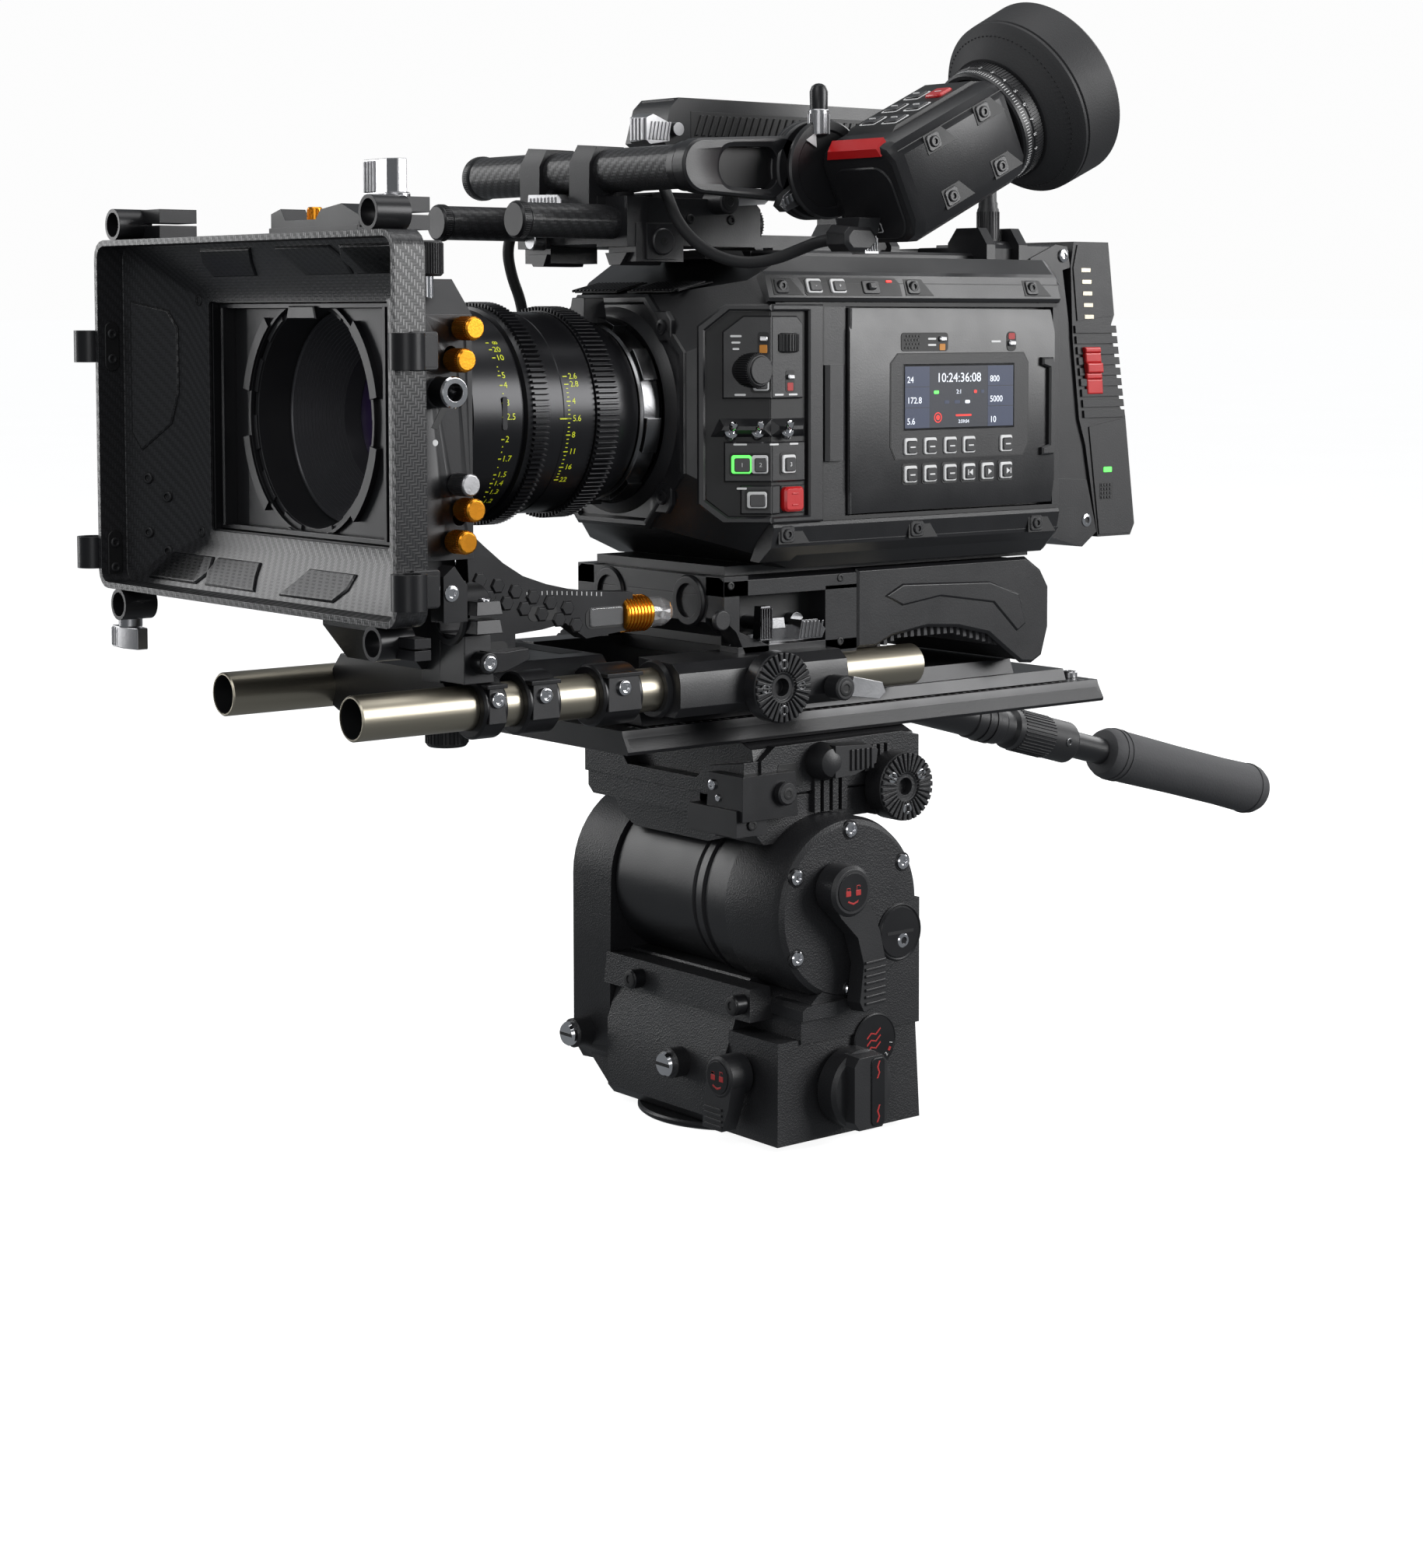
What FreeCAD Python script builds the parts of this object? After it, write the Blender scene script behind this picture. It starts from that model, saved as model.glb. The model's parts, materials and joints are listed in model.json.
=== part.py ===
import FreeCAD, Part
import math
import os
import re

import Sketcher

# Cinema camera rig: fluid head, dovetail, bridge plate, support rods, matte box, lens, camera, viewfinder.
# Everything is laid out in millimetres from the front ends of the two support rods: X = 0 is the rig's plane
# of symmetry, +X the operator's side, Y = 0 the rods' front ends, +Y towards the rear, Z = 0 the rods' axes.
# Each sub-part's Placement then moves it to the origin, the centre of the fluid head's base, on the floor.

DIMENSIONS = {
    "frame_y": -242, "frame_z": 210,
    "tube_radius": 9.5, "tube_bore": 8.3, "tube_length": 304.8, "tube_x": 52, "tube_fit": 9.55,
    "light_rod_x": 30, "light_rod_z": 35, "light_rod_fit": 7.55,
    "lens_z": 120, "lens_core": 40, "lens_fit": 40.05, "lens_body": 44, "lens_front": 45.3,
    "focus_radius": 48.5, "iris_radius": 46.8, "mount_radius": 36,
    "hood_half": 122, "hood_low": 42.9, "hood_top": 195.3, "hood_front": -22, "hood_wall": 2.5,
    "stage_half": 95, "stage_low": 66, "stage_top": 177,
    "window_half": 71, "window_low": 70, "window_top": 168,
    "body_half": 75, "body_low": 50, "body_top": 189, "body_front": 171, "body_rear": 392,
    "plate_half": 55, "plate_top": 46.7, "plate_front": 190, "plate_rear": 268,
    "dovetail_top": -17.7, "dovetail_low": -28, "dovetail_front": 138.5, "dovetail_rear": 432.4,
    "rosette_radius": 15.9, "tilt_y": 242.5, "tilt_z": -104.4, "cover_radius": 41.9, "drum_radius": 38,
    "pan_y": 242, "base_low": -210, "base_radius": 47.5, "floor_of_head": -206.2,
    "cross_y": 150.5, "cross_z": 225.7, "cross_radius": 9.5, "finder_rod_z": 203.3, "finder_rod_radius": 7.5,
    "hub_y": 212, "hub_z": 225.5, "hub_radius": 21.5, "finder_x": 123, "finder_half": 25,
    "finder_angle": 25.5, "finder_y": 215, "finder_z": 213, "cup_radius": 41,
    "bar_x": -93, "bar_angle": -15.2, "bar_radius": 9, "grip_radius": 14.5,
    "cable_radius": 2.6, "gap": 0.3,
}

doc = FreeCAD.newDocument("cinema_camera_rig")
sheet = doc.addObject("Spreadsheet::Sheet", "dims")
for row, (alias, value) in enumerate(DIMENSIONS.items(), start=1):
    sheet.set(f"A{row}", alias)
    sheet.set(f"B{row}", str(value))
    sheet.setAlias(f"B{row}", alias)
doc.recompute()

nodes = {}


def value_of(size):
    """The number that a size stands for: itself, or an expression in the sheet's aliases."""
    total = 0.0
    for sign, factor, term in re.findall(r"([+-]?)\s*(?:([\d.]+)\s*\*)?\s*([a-z_]+|[\d.]+)", str(size)):
        number = DIMENSIONS[term] if term in DIMENSIONS else float(term)
        total += (-1 if sign == "-" else 1) * float(factor or 1) * number
    return total


def bind(item, path, size):
    """Sets a property of a document object to a size, as an expression on the sheet when it names a cell."""
    text = re.sub(r"[a-z_]+", lambda name: "dims." + name[0], str(size))
    item.setExpression(path, text)


def place(item, base):
    for letter, size in zip("xyz", base):
        bind(item, f"Placement.Base.{letter}", size)
    return item


def difference(high, low):
    """high - low as a size, for sizes that may be expressions of plain sums."""
    flipped = re.sub(r"[+-]", lambda sign: "-" if sign[0] == "+" else "+", str(low).lstrip("+"))
    flipped = flipped if flipped[0] in "+-" else "-" + flipped
    return f"{high} {flipped}"


AXIS = {
    "x": FreeCAD.Rotation(FreeCAD.Vector(0, 1, 0), 90),
    "y": FreeCAD.Rotation(FreeCAD.Vector(1, 0, 0), -90),
    "z": FreeCAD.Rotation(),
}


def on_axis(axis, centre, along):
    """The base point whose coordinate along the axis is along, and whose other two are centre's."""
    base = list(centre)
    base.insert("xyz".index(axis), along)
    return base


def box(x, y, z):
    """A box between two limits on each axis."""
    item = doc.addObject("Part::Box", "Box")
    for name, (low, high) in zip(("Length", "Width", "Height"), (x, y, z)):
        bind(item, name, difference(high, low))
    return place(item, (x[0], y[0], z[0]))


def cylinder(axis, centre, span, radius):
    """A cylinder along an axis; centre gives its other two coordinates, in X, Y, Z order."""
    item = doc.addObject("Part::Cylinder", "Cylinder")
    bind(item, "Radius", radius)
    bind(item, "Height", difference(span[1], span[0]))
    item.Placement = FreeCAD.Placement(FreeCAD.Vector(), AXIS[axis])
    return place(item, on_axis(axis, centre, span[0]))


def ball(centre, radius):
    item = doc.addObject("Part::Sphere", "Ball")
    bind(item, "Radius", radius)
    return place(item, centre)


def fuse(*items):
    item = doc.addObject("Part::MultiFuse", "Fuse")
    item.Shapes = list(items)
    item.Refine = True
    return item


def cut(base, *tools):
    item = doc.addObject("Part::Cut", "Cut")
    item.Base = base
    item.Tool = tools[0] if len(tools) == 1 else fuse(*tools)
    return item


def ring(axis, centre, span, outer, inner):
    hole = cylinder(axis, centre, (f"{span[0]} - 1", f"{span[1]} + 1"), inner)
    return cut(cylinder(axis, centre, span, outer), hole)


def turned(item, axis, angle, centre):
    """A copy of an item turned about a line through centre."""
    holder = doc.addObject("Part::Compound", "Turned")
    holder.Links = [item]
    point = FreeCAD.Vector(*(value_of(size) for size in centre))
    holder.Placement = FreeCAD.Placement(FreeCAD.Vector(), FreeCAD.Rotation(axis, angle), point)
    return holder


def outline_sketch(body, role, points, level):
    """A closed outline on one of the body's own planes; every vertex is held by two bound distances."""
    plane = next(item for item in body.Origin.OriginFeatures if item.Role == role)
    sketch = body.newObject("Sketcher::SketchObject", "Outline")
    sketch.AttachmentSupport = (plane, [""])
    sketch.MapMode = "FlatFace"
    bind(sketch, "AttachmentOffset.Base.z", level)
    corners = [FreeCAD.Vector(value_of(first), value_of(second), 0) for first, second in points]
    for start, end in zip(corners, corners[1:] + corners[:1]):
        sketch.addGeometry(Part.LineSegment(start, end), False)
    for number in range(len(points)):
        sketch.addConstraint(Sketcher.Constraint("Coincident", number, 2, (number + 1) % len(points), 1))
    for number, point in enumerate(points):
        for kind, size, exact in zip(("DistanceX", "DistanceY"), point, corners[number]):
            held = sketch.addConstraint(Sketcher.Constraint(kind, -1, 1, number, 1, exact))
            bind(sketch, f"Constraints[{held}]", size)
    return sketch


def prism(plane, points, span):
    """A padded outline. plane yz takes (y, z) points and a span in x; xz (x, z) and y; xy (x, y) and z."""
    body = doc.addObject("PartDesign::Body", "Body")
    role = {"yz": "YZ_Plane", "xz": "XZ_Plane", "xy": "XY_Plane"}[plane]
    # The XZ plane's normal points to -Y, so its pad starts at the far limit.
    level = f"0 - ({span[1]})" if plane == "xz" else span[0]
    sketch = outline_sketch(body, role, points, level)
    pad = body.newObject("PartDesign::Pad", "Pad")
    pad.Profile = sketch
    bind(pad, "Length", difference(span[1], span[0]))
    return body


def lathe(axis, centre, profile):
    """A solid of revolution. profile is a closed outline of (distance along the axis, radius) points."""
    body = doc.addObject("PartDesign::Body", "Body")
    sketch = outline_sketch(body, "XZ_Plane", [(radius, along) for along, radius in profile], 0)
    turn = body.newObject("PartDesign::Revolution", "Revolution")
    turn.Profile = sketch
    turn.ReferenceAxis = (sketch, ["V_Axis"])
    turn.Angle = 360
    body.Placement = FreeCAD.Placement(FreeCAD.Vector(), AXIS[axis])
    return place(body, on_axis(axis, centre, 0))


def both_sides(item):
    """The item and its mirror image in the plane X = 0."""
    mirror = doc.addObject("Part::Mirroring", "Mirror")
    mirror.Source = item
    mirror.Normal = FreeCAD.Vector(1, 0, 0)
    return [item, mirror]


def node(label, *items):
    """Closes a sub-part: one labelled object, moved from the rods' front ends to the head's base."""
    item = doc.addObject("Part::Compound", label)
    item.Label = label
    item.Links = list(items)
    nodes[label] = place(item, (0, "frame_y", "frame_z"))


# ---------------------------------------------------------------- fluid head

TILT = ("tilt_y", "tilt_z")


def build_head():
    """Pan base, tilt housing with its two arms, tilting drum and platform, and the controls on them."""
    pan = (0, "pan_y")
    flange = cylinder("z", pan, ("base_low", "floor_of_head - gap"), "base_radius")
    pivot = cylinder("z", pan, ("floor_of_head - gap", "floor_of_head + 16"), 36)
    thread = cylinder("z", pan, ("base_low - 1", "base_low + 15"), 5)
    node("head_base", cut(fuse(flange, pivot), thread))

    block = box((-75, 75), (200, 285), ("floor_of_head", -135))
    arm = fuse(cylinder("x", TILT, (-75, -47), "cover_radius"),
               box((-75, -47), (200.6, 284.4), (-140, "tilt_z")))
    cover = cylinder("x", TILT, (42, 80), "cover_radius")
    column = box((42, 80), (238, 282), ("floor_of_head", -104))
    recess = cylinder("z", pan, ("floor_of_head - 1", "floor_of_head + 16.5"), 36.3)
    drum_room = cylinder("x", TILT, (-47, 42), "cover_radius - 0.1")
    knob_bore = cylinder("x", (240, -184), (58, 81), 5.05)
    ledge = prism("yz", [(199, -134), (199, -165), (216, -134)], (-76, 76))
    screws = [cylinder("x", (f"tilt_y + {36.5 * math.cos(turn):.3f}", f"tilt_z + {36.5 * math.sin(turn):.3f}"),
                       (80, 81.6), 3.4) for turn in (math.radians(30 + 60 * step) for step in range(6))]
    studs = [cylinder("y", (x, -180), (195, 200), 6) for x in (-65, 11)]
    yoke = cut(fuse(block, arm, cover, column), recess, drum_room, knob_bore, ledge)
    node("head_yoke", yoke, *screws, *studs)

    knob = fuse(cylinder("x", (240, -184), (80.4, 93), 18), cylinder("x", (240, -184), (60, 80.4), 5),
                box((93, 99), (236, 244), (-201, -167)))
    node("pan_drag_knob", knob)

    hub = cylinder("y", (55, -177), (186, 199.9), 8)
    blade = prism("xz", [(49, -181), (61, -181), (50, -202), (42, -201)], (187, 194))
    node("pan_lock_lever", fuse(hub, blade))

    hub = cylinder("x", (232, -93), (80.1, 94), 11)
    blade = prism("yz", [(223, -97), (241, -97), (246, -143), (240, -148), (234, -143)], (84, 92))
    node("tilt_lock_lever", fuse(hub, blade))

    drum = cylinder("x", TILT, (-46.6, 30), "drum_radius")
    collar = cylinder("x", TILT, (30, 41.6), "cover_radius - 0.9")
    neck = box((-44, 40), (206, 279), (-104, -61.5))
    plate = box((-60, 60), (199, 301), (-61.5, -53))
    slot = box((-61, 61), (180, 310), (-53, -30))
    trimmed = cut(fuse(drum, collar, cut(neck, cylinder("x", TILT, (-50, 50), "drum_radius - 1")), plate), slot)
    rosette = cylinder("x", (282, -53.3), (61, 75), "rosette_radius")
    boss = cut(box((60, 66), (272, 292), (-61.5, -47)), cylinder("x", (282, -53.3), (59, 80), "rosette_radius"))
    node("tilt_platform", trimmed, *both_sides(rosette), *both_sides(boss))


def build_platform_clamp():
    """The clamp on the platform that holds the dovetail, its side knob and its release block."""
    low = prism("xz", [(-60, -52.7), (60, -52.7), (60, -38), (56, -29), (-56, -29), (-60, -38)], (199, 301))
    bolt_room = cylinder("x", (240, -40), (48, 61), 4.05)
    top = box((-46, 46), (205, 295), (-29, "dovetail_low - gap"))
    node("platform_clamp", cut(fuse(low, top), bolt_room))
    stem = cylinder("x", (240, -40), (50, 64), 4)
    lever = prism("yz", [(234, -46), (246, -46), (262, -36), (264, -31), (236, -34)], (64, 72))
    node("platform_lever", fuse(stem, lever))


def build_pan_bar():
    """The pan bar on the left rosette: clamp and outer tube, sliding extension and grip, all on one slope."""
    pivot = ("bar_x", 282, -53.3)

    def sloped(item):
        return turned(item, FreeCAD.Vector(1, 0, 0), DIMENSIONS["bar_angle"], pivot)

    axis = ("bar_x", -4.3)
    clamp = fuse(cylinder("x", (282, -53.3), ("bar_x - 8", -76.3), "rosette_radius"),
                 box(("bar_x - 8", "bar_x + 8"), (273, 291), (-53.3, -8)), cylinder("y", axis, (255, 330), 13))
    outer = fuse(cylinder("y", axis, (255, 475), "bar_radius + 1"), cylinder("y", axis, (475, 498), "bar_radius"),
                 cylinder("y", axis, (498, 549.5), 11.6))
    room = cylinder("y", axis, (258, 560), 7.55)
    node("pan_bar_tube", sloped(cut(fuse(clamp, outer), room)))
    node("pan_bar_extension", sloped(cylinder("y", axis, (345, 577.5), 7.5)))
    node("pan_bar_grip", sloped(cylinder("y", axis, (577.5, 714.3), "grip_radius")))


# ---------------------------------------------------------------- dovetail, bridge plate, rods

def build_dovetail():
    section = [(-48.5, "dovetail_top"), (48.5, "dovetail_top"), (48.5, -20), (53, "dovetail_low"),
               (-53, "dovetail_low"), (-48.5, -20)]
    plate = prism("xz", section, ("dovetail_front", "dovetail_rear"))
    groove = box((-6, 6), (160, 412), ("dovetail_top - 3", "dovetail_top + 1"))
    stop = cylinder("z", (34, 427), ("dovetail_top", "dovetail_top + 3"), 4)
    node("dovetail_plate", cut(plate, groove), stop)


def build_bridge_plate():
    """The plate under the camera: bores for two pairs of rods, side window, sliding foot and side rosettes."""
    half = "plate_half"
    block = box((f"0 - {half}", half), ("plate_front", "plate_rear"), (12, "plate_top"))
    housing_outline = [(-70, 8), (-70, -8), (-66, -11.5), (66, -11.5), (70, -8), (70, 8), (64, 12), (-64, 12)]
    housing = prism("xz", housing_outline, (153, 250))
    foot = box((-44, 44), (153, 415), ("dovetail_top + gap", -11.5))
    saddle = box((-40, 40), (250, 383), (-11.5, -4.2))
    windows = [box(x, (199, 249), (15, 38)) for x in ((45, 56), (-56, -45))]
    bores = [cylinder("y", (side + "tube_x", 0), (150, 260), "tube_fit") for side in ("0 + ", "0 - ")]
    bores += [cylinder("y", (side + "light_rod_x", "light_rod_z"), (180, 280), "light_rod_fit")
              for side in ("0 + ", "0 - ")]
    rosette = cut(cylinder("x", (205, -1), (70, 79), "rosette_radius"), cylinder("x", (205, -1), (69, 80), 3.2))
    lever_bore = cylinder("x", (212, 25), (30, 46), 3.05)
    button_bore = cylinder("x", (238, 24), (38, 46), 4.05)
    clamp_bore = cylinder("x", (240, -4), (62.5, 71), 1.85)
    node("bridge_plate", cut(fuse(block, housing, foot, saddle), *windows, *bores, lever_bore, button_bore,
                             clamp_bore), *both_sides(rosette))
    lever = fuse(cylinder("x", (212, 25), (40, 58), 3), cylinder("x", (212, 25), (46, 60), 6),
                 box((56, 60), (212, 232), (22, 28)))
    node("slide_lock_lever", lever)
    button = fuse(cylinder("x", (238, 24), (41.5, 47), 4), box((47, 57), (233, 244), (20, 29)))
    node("slide_release_button", button)
    clamp = fuse(cylinder("x", (240, -4), (64, 72), 1.8), cylinder("x", (240, -4), (70.3, 80), 5),
                 prism("yz", [(240, -9), (262, -13), (263, -8), (240, 1)], (73, 78)))
    node("rod_clamp_lever", clamp)


def build_shoulder_pad():
    outline = [(269, 46.2), (380, 46.2), (391, 34), (391, 10), (385, -4), (374, -4), (352, 12), (312, 18),
               (269, 11)]
    node("shoulder_pad", prism("yz", outline, (-55, 55)))


def build_rods():
    tubes = [ring("y", (side + "tube_x", 0), (0, "tube_length"), "tube_radius", "tube_bore")
             for side in ("0 + ", "0 - ")]
    node("support_rods", *tubes)


def build_rod_bridge():
    """The bracket on the support rods: bands, cross beam, tube clamp, and the riser to the matte box."""
    bands = [cylinder("y", (side + "tube_x", 0), span, 13.5) for side, span in
             (("0 + ", (56, 68)), ("0 + ", (78, 95)), ("0 + ", (117, 138)), ("0 - ", (67, 138)))]
    cheek = box((40, 52), (56, 138), (-9, 12))
    beam = box((-45, 45), (50, 136), (-8, 15.4))
    tower = box((30, 58), (48, 62.9), (12, 30))
    tube_clamp = cylinder("y", (50, 38.9), (48, 62.9), 13)
    riser = box((-26, 33.5), (34, 62.9), (15.4, 64))
    holes = [cylinder("y", (side + "tube_x", 0), (40, 150), "tube_fit") for side in ("0 + ", "0 - ")]
    clamp_hole = cylinder("y", (50, 38.9), (40, 72), 9.5)
    split = box((50, 70), (40, 72), (38, 40))
    lever_bore = cylinder("x", (56, 20), (44, 59), 2.55)
    knob = fuse(cylinder("z", (0, 80), (-20, -8), 6), cylinder("z", (0, 80), (-24, -12), 9))
    node("rod_bridge", cut(fuse(*bands, cheek, beam, tower, tube_clamp, riser), *holes, clamp_hole, split,
                           lever_bore), cut(knob, box((-20, 20), (60, 100), (-8, 0))))
    lever = fuse(cylinder("x", (56, 20), (47, 66), 2.5), cylinder("x", (56, 20), (58.3, 69), 4.5),
                 prism("yz", [(56, 15.5), (74, 21), (73, 26), (55, 24.5)], (63.5, 68)))
    node("bridge_lever", lever)


def build_cradle():
    """The crescent under the lens that carries the matte box, and its sliding release."""
    outline = [(31, 92), (44, 84), (65, 72), (80, 58), (102, 49), (125, 44), (148, 42.5), (148, 26), (123, 23.5),
               (112, 31), (100, 29), (86, 28), (86, 15.4), (63, 15.4), (63, 62), (31, 66)]
    crescent = prism("yz", outline, (-44, 44))
    middle = box((-34, 34), (20, 150), (15, 100))
    slot = box((34, 45), (122.9, 149), (27, 38))
    tie = box((-35, 35), (112, 122), (31.5, 43))
    post = box((-35, 35), (63, 72), (15.4, 58))
    node("lens_cradle", fuse(cut(crescent, middle, slot), tie, post))
    slider = fuse(box((36, 43), (124, 146), (28.5, 36.5)), cylinder("y", (40, 32.5), (149, 158), 7.5),
                  cylinder("y", (40, 32.5), (158, 171), 6.5), box((38, 42), (146, 149), (29.5, 35.5)))
    node("eject_slider", slider)


# ---------------------------------------------------------------- matte box

def flat_wire(half, low, high, y):
    """A rectangle across the lens axis at one distance, as a section of the hood's loft."""
    sketch = doc.addObject("Sketcher::SketchObject", "Section")
    sketch.Placement.Rotation = FreeCAD.Rotation(FreeCAD.Vector(1, 0, 0), 90)
    bind(sketch, "Placement.Base.y", y)
    left, right = -value_of(half), value_of(half)
    bottom, top = value_of(low), value_of(high)
    corners = [(left, bottom), (right, bottom), (right, top), (left, top)]
    for start, end in zip(corners, corners[1:] + corners[:1]):
        sketch.addGeometry(Part.LineSegment(FreeCAD.Vector(*start, 0), FreeCAD.Vector(*end, 0)), False)
    for number in range(4):
        sketch.addConstraint(Sketcher.Constraint("Coincident", number, 2, (number + 1) % 4, 1))
    limits = (("DistanceX", 0, left, f"0 - ({half})"), ("DistanceY", 0, bottom, low),
              ("DistanceX", 2, right, half), ("DistanceY", 2, top, high))
    for kind, corner, exact, size in limits:
        held = sketch.addConstraint(Sketcher.Constraint(kind, -1, 1, corner, 1, exact))
        bind(sketch, f"Constraints[{held}]", size)
    for number, kind in enumerate(("Horizontal", "Vertical", "Horizontal", "Vertical")):
        sketch.addConstraint(Sketcher.Constraint(kind, number))
    return sketch


def loft(*sections):
    item = doc.addObject("Part::Loft", "Loft")
    item.Sections = list(sections)
    item.Solid = True
    item.Ruled = True
    return item


FILTER_KNOBS = ((25, 157.5), (21, 147.5), (24.5, 82.5), (20.5, 72.5))


def build_matte_box():
    """Hood, filter stage, donut, flag clamps round the hood, and the stage's knobs."""
    wall = "hood_wall"
    outer = loft(flat_wire("hood_half", "hood_low", "hood_top", "hood_front"),
                 flat_wire("hood_half", "hood_low", "hood_top", -8),
                 flat_wire("stage_half", "stage_low - 5", "stage_top + 3", 8))
    inner = loft(flat_wire(f"hood_half - {wall}", f"hood_low + {wall}", f"hood_top - {wall}", "hood_front - 1"),
                 flat_wire(f"hood_half - {wall}", f"hood_low + {wall}", f"hood_top - {wall}", -9),
                 flat_wire("stage_half - 5", "stage_low - 3", "stage_top - 3", 9))
    node("matte_box_hood", cut(outer, inner))

    low, top, half = "stage_low", "stage_top", "stage_half"
    face = [(f"0 - {half}", low), (half, low), (half, f"{top} - 14"), (f"{half} - 14", top),
            (f"14 - {half}", top), (f"0 - {half}", f"{top} - 14")]
    stage = prism("xz", face, (8, 31))
    window = box(("0 - window_half", "window_half"), (0, 15), ("window_low", "window_top"))
    throat = cylinder("y", (0, "lens_z"), (10, 40), 49.2)
    rear_step = box((-62, 62), (22, 40), (60, 190))
    pipe = ring("x", (15.7, 132.5), (95, 105), 6, 3.5)
    bores = [cylinder("x", spot, (84, 96), 3.05) for spot in FILTER_KNOBS]
    stem_bore = cylinder("z", (86, 16), (160, 178), 2.05)
    node("matte_box_stage", cut(stage, window, throat, rear_step, *bores, stem_bore), pipe)

    profile = [(15.3, 49), (24, 49), (30, 47), (30, 45), (15.3, 46.2)]
    node("donut_ring", lathe("y", (0, "lens_z"), profile))

    knobs = [fuse(cylinder("x", spot, (87, 95.5), 3), cylinder("x", spot, (95.5, 106), 4.6))
             for spot in FILTER_KNOBS]
    node("filter_knobs", *knobs)
    node("stage_lock_knob", fuse(cylinder("z", (86, 16), (163, 178), 2),
                                 cylinder("z", (86, 16), (177.4, 192), 6.5)))


def build_flag_clamps():
    """Tube clamps on the hood's rim: two above, two below, and two at each side."""
    rings = [ring("y", (x, z), (-21, -7), 6.5, 5.2) for x in (-104, 104) for z in (201.8, 36.4)]
    side_rings = [ring("z", (x, -21), (z, f"{z} + 14"), 6.5, 4.8) for x in (-129, 129) for z in (51, 142)]
    lugs = [box((84, 99), (-10, 8), (198.5, 206)), box((-99, -84), (-10, -7), (198.5, 205)),
            box((-122, -110.2), (-14, -6), (30.5, 38)), box((110.2, 118), (-14, -7), (30.5, 38))]
    feet = [box((x, f"{x} + 9"), (-14, -9), (z, f"{z} + 10")) for x in (-131, 122) for z in (53, 144)]
    lever_bores = [cylinder("z", (90, 0), (196, 207), 2.05), cylinder("z", (-116, -10), (29, 39), 2.05)]
    top_pieces = [fuse(rings[0], lugs[1]), cut(fuse(rings[2], lugs[0]), lever_bores[0])]
    low_pieces = [cut(fuse(rings[1], lugs[2]), lever_bores[1]), fuse(rings[3], lugs[3])]
    bracket = fuse(box((-24, 46), (9, 15), (177, 199)), box((-24, 4), (9, 24), (195, 199)),
                   cylinder("z", (0, 19), (197, 206), 3))
    node("flag_clamps", *top_pieces, *low_pieces, *[fuse(*pair) for pair in zip(side_rings, feet)], bracket)
    node("flag_lever_top", fuse(cylinder("z", (90, 0), (199, 210), 2), cylinder("z", (90, 0), (206.3, 211), 5),
                                box((70, 92), (-2, 2), (209, 223))))
    node("flag_lever_bottom", fuse(cylinder("z", (-116, -10), (25, 37), 2),
                                   cylinder("z", (-116, -10), (24, 30.2), 5),
                                   box((-126, -104), (-12, -8), (16, 26))))


# ---------------------------------------------------------------- lens

def build_lens():
    """Barrel with its two geared rings, front glass and the ring that locks it to the camera."""
    axis = (0, "lens_z")
    profile = [(36, "lens_front"), (63.6, "lens_front"), (63.6, "lens_core"), (102.4, "lens_core"),
               (102.4, "lens_body"), (128.2, "lens_body"), (128.2, "lens_core"), (140.4, "lens_core"),
               (140.4, "lens_body"), (155.6, 38.5), (155.6, "mount_radius"), (170.7, "mount_radius"),
               (170.7, 20), (60, 20), (60, 28.6), (47, 28.6), (36, 43)]
    node("lens_barrel", lathe("y", axis, profile))
    focus = [(64, "lens_fit"), (64, "lens_body + 1.4"), (94, "lens_body + 1.4"), (94, "focus_radius"),
             (102, "focus_radius"), (102, "lens_fit")]
    node("focus_ring", lathe("y", axis, focus))
    node("iris_ring", ring("y", axis, (128.6, 140), "iris_radius", "lens_fit"))
    glass = [(50, 0), (52, 14), (56, 28.6), (60, 28.6), (60, 0)]
    node("lens_glass", lathe("y", axis, glass))
    grip = ring("y", axis, (156, 166), 42.4, "mount_radius + 0.05")
    tab = box((-5, 5), (156, 163), ("lens_z + 41", "lens_z + 47"))
    node("mount_lock_ring", fuse(grip, tab))


# ---------------------------------------------------------------- camera

KEYS = {"back": (72.5, 202.6, 131.8), "first": (68, 192.5, 96.3), "second": (73.4, 201.3, 96.3),
        "third": (74, 212.5, 96.2), "menu": (71, 197, 83.3)}
TOGGLES = ((65, 188.4, 112.3), (71.5, 198, 113), (74, 210.5, 113))
DIAL = (193.2, 138.7)
WHEEL = (209, 150.7)
RECORD = (213, 82)


def octagon(half, low, high, chamfer, y):
    """An eight-sided section across the lens axis."""
    sketch = doc.addObject("Sketcher::SketchObject", "Section")
    sketch.Placement.Rotation = FreeCAD.Rotation(FreeCAD.Vector(1, 0, 0), 90)
    bind(sketch, "Placement.Base.y", y)
    points = [(-half, low + chamfer), (chamfer - half, low), (half - chamfer, low), (half, low + chamfer),
              (half, high - chamfer), (half - chamfer, high), (chamfer - half, high), (-half, high - chamfer)]
    for start, end in zip(points, points[1:] + points[:1]):
        sketch.addGeometry(Part.LineSegment(FreeCAD.Vector(*start, 0), FreeCAD.Vector(*end, 0)), False)
    return sketch


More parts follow.
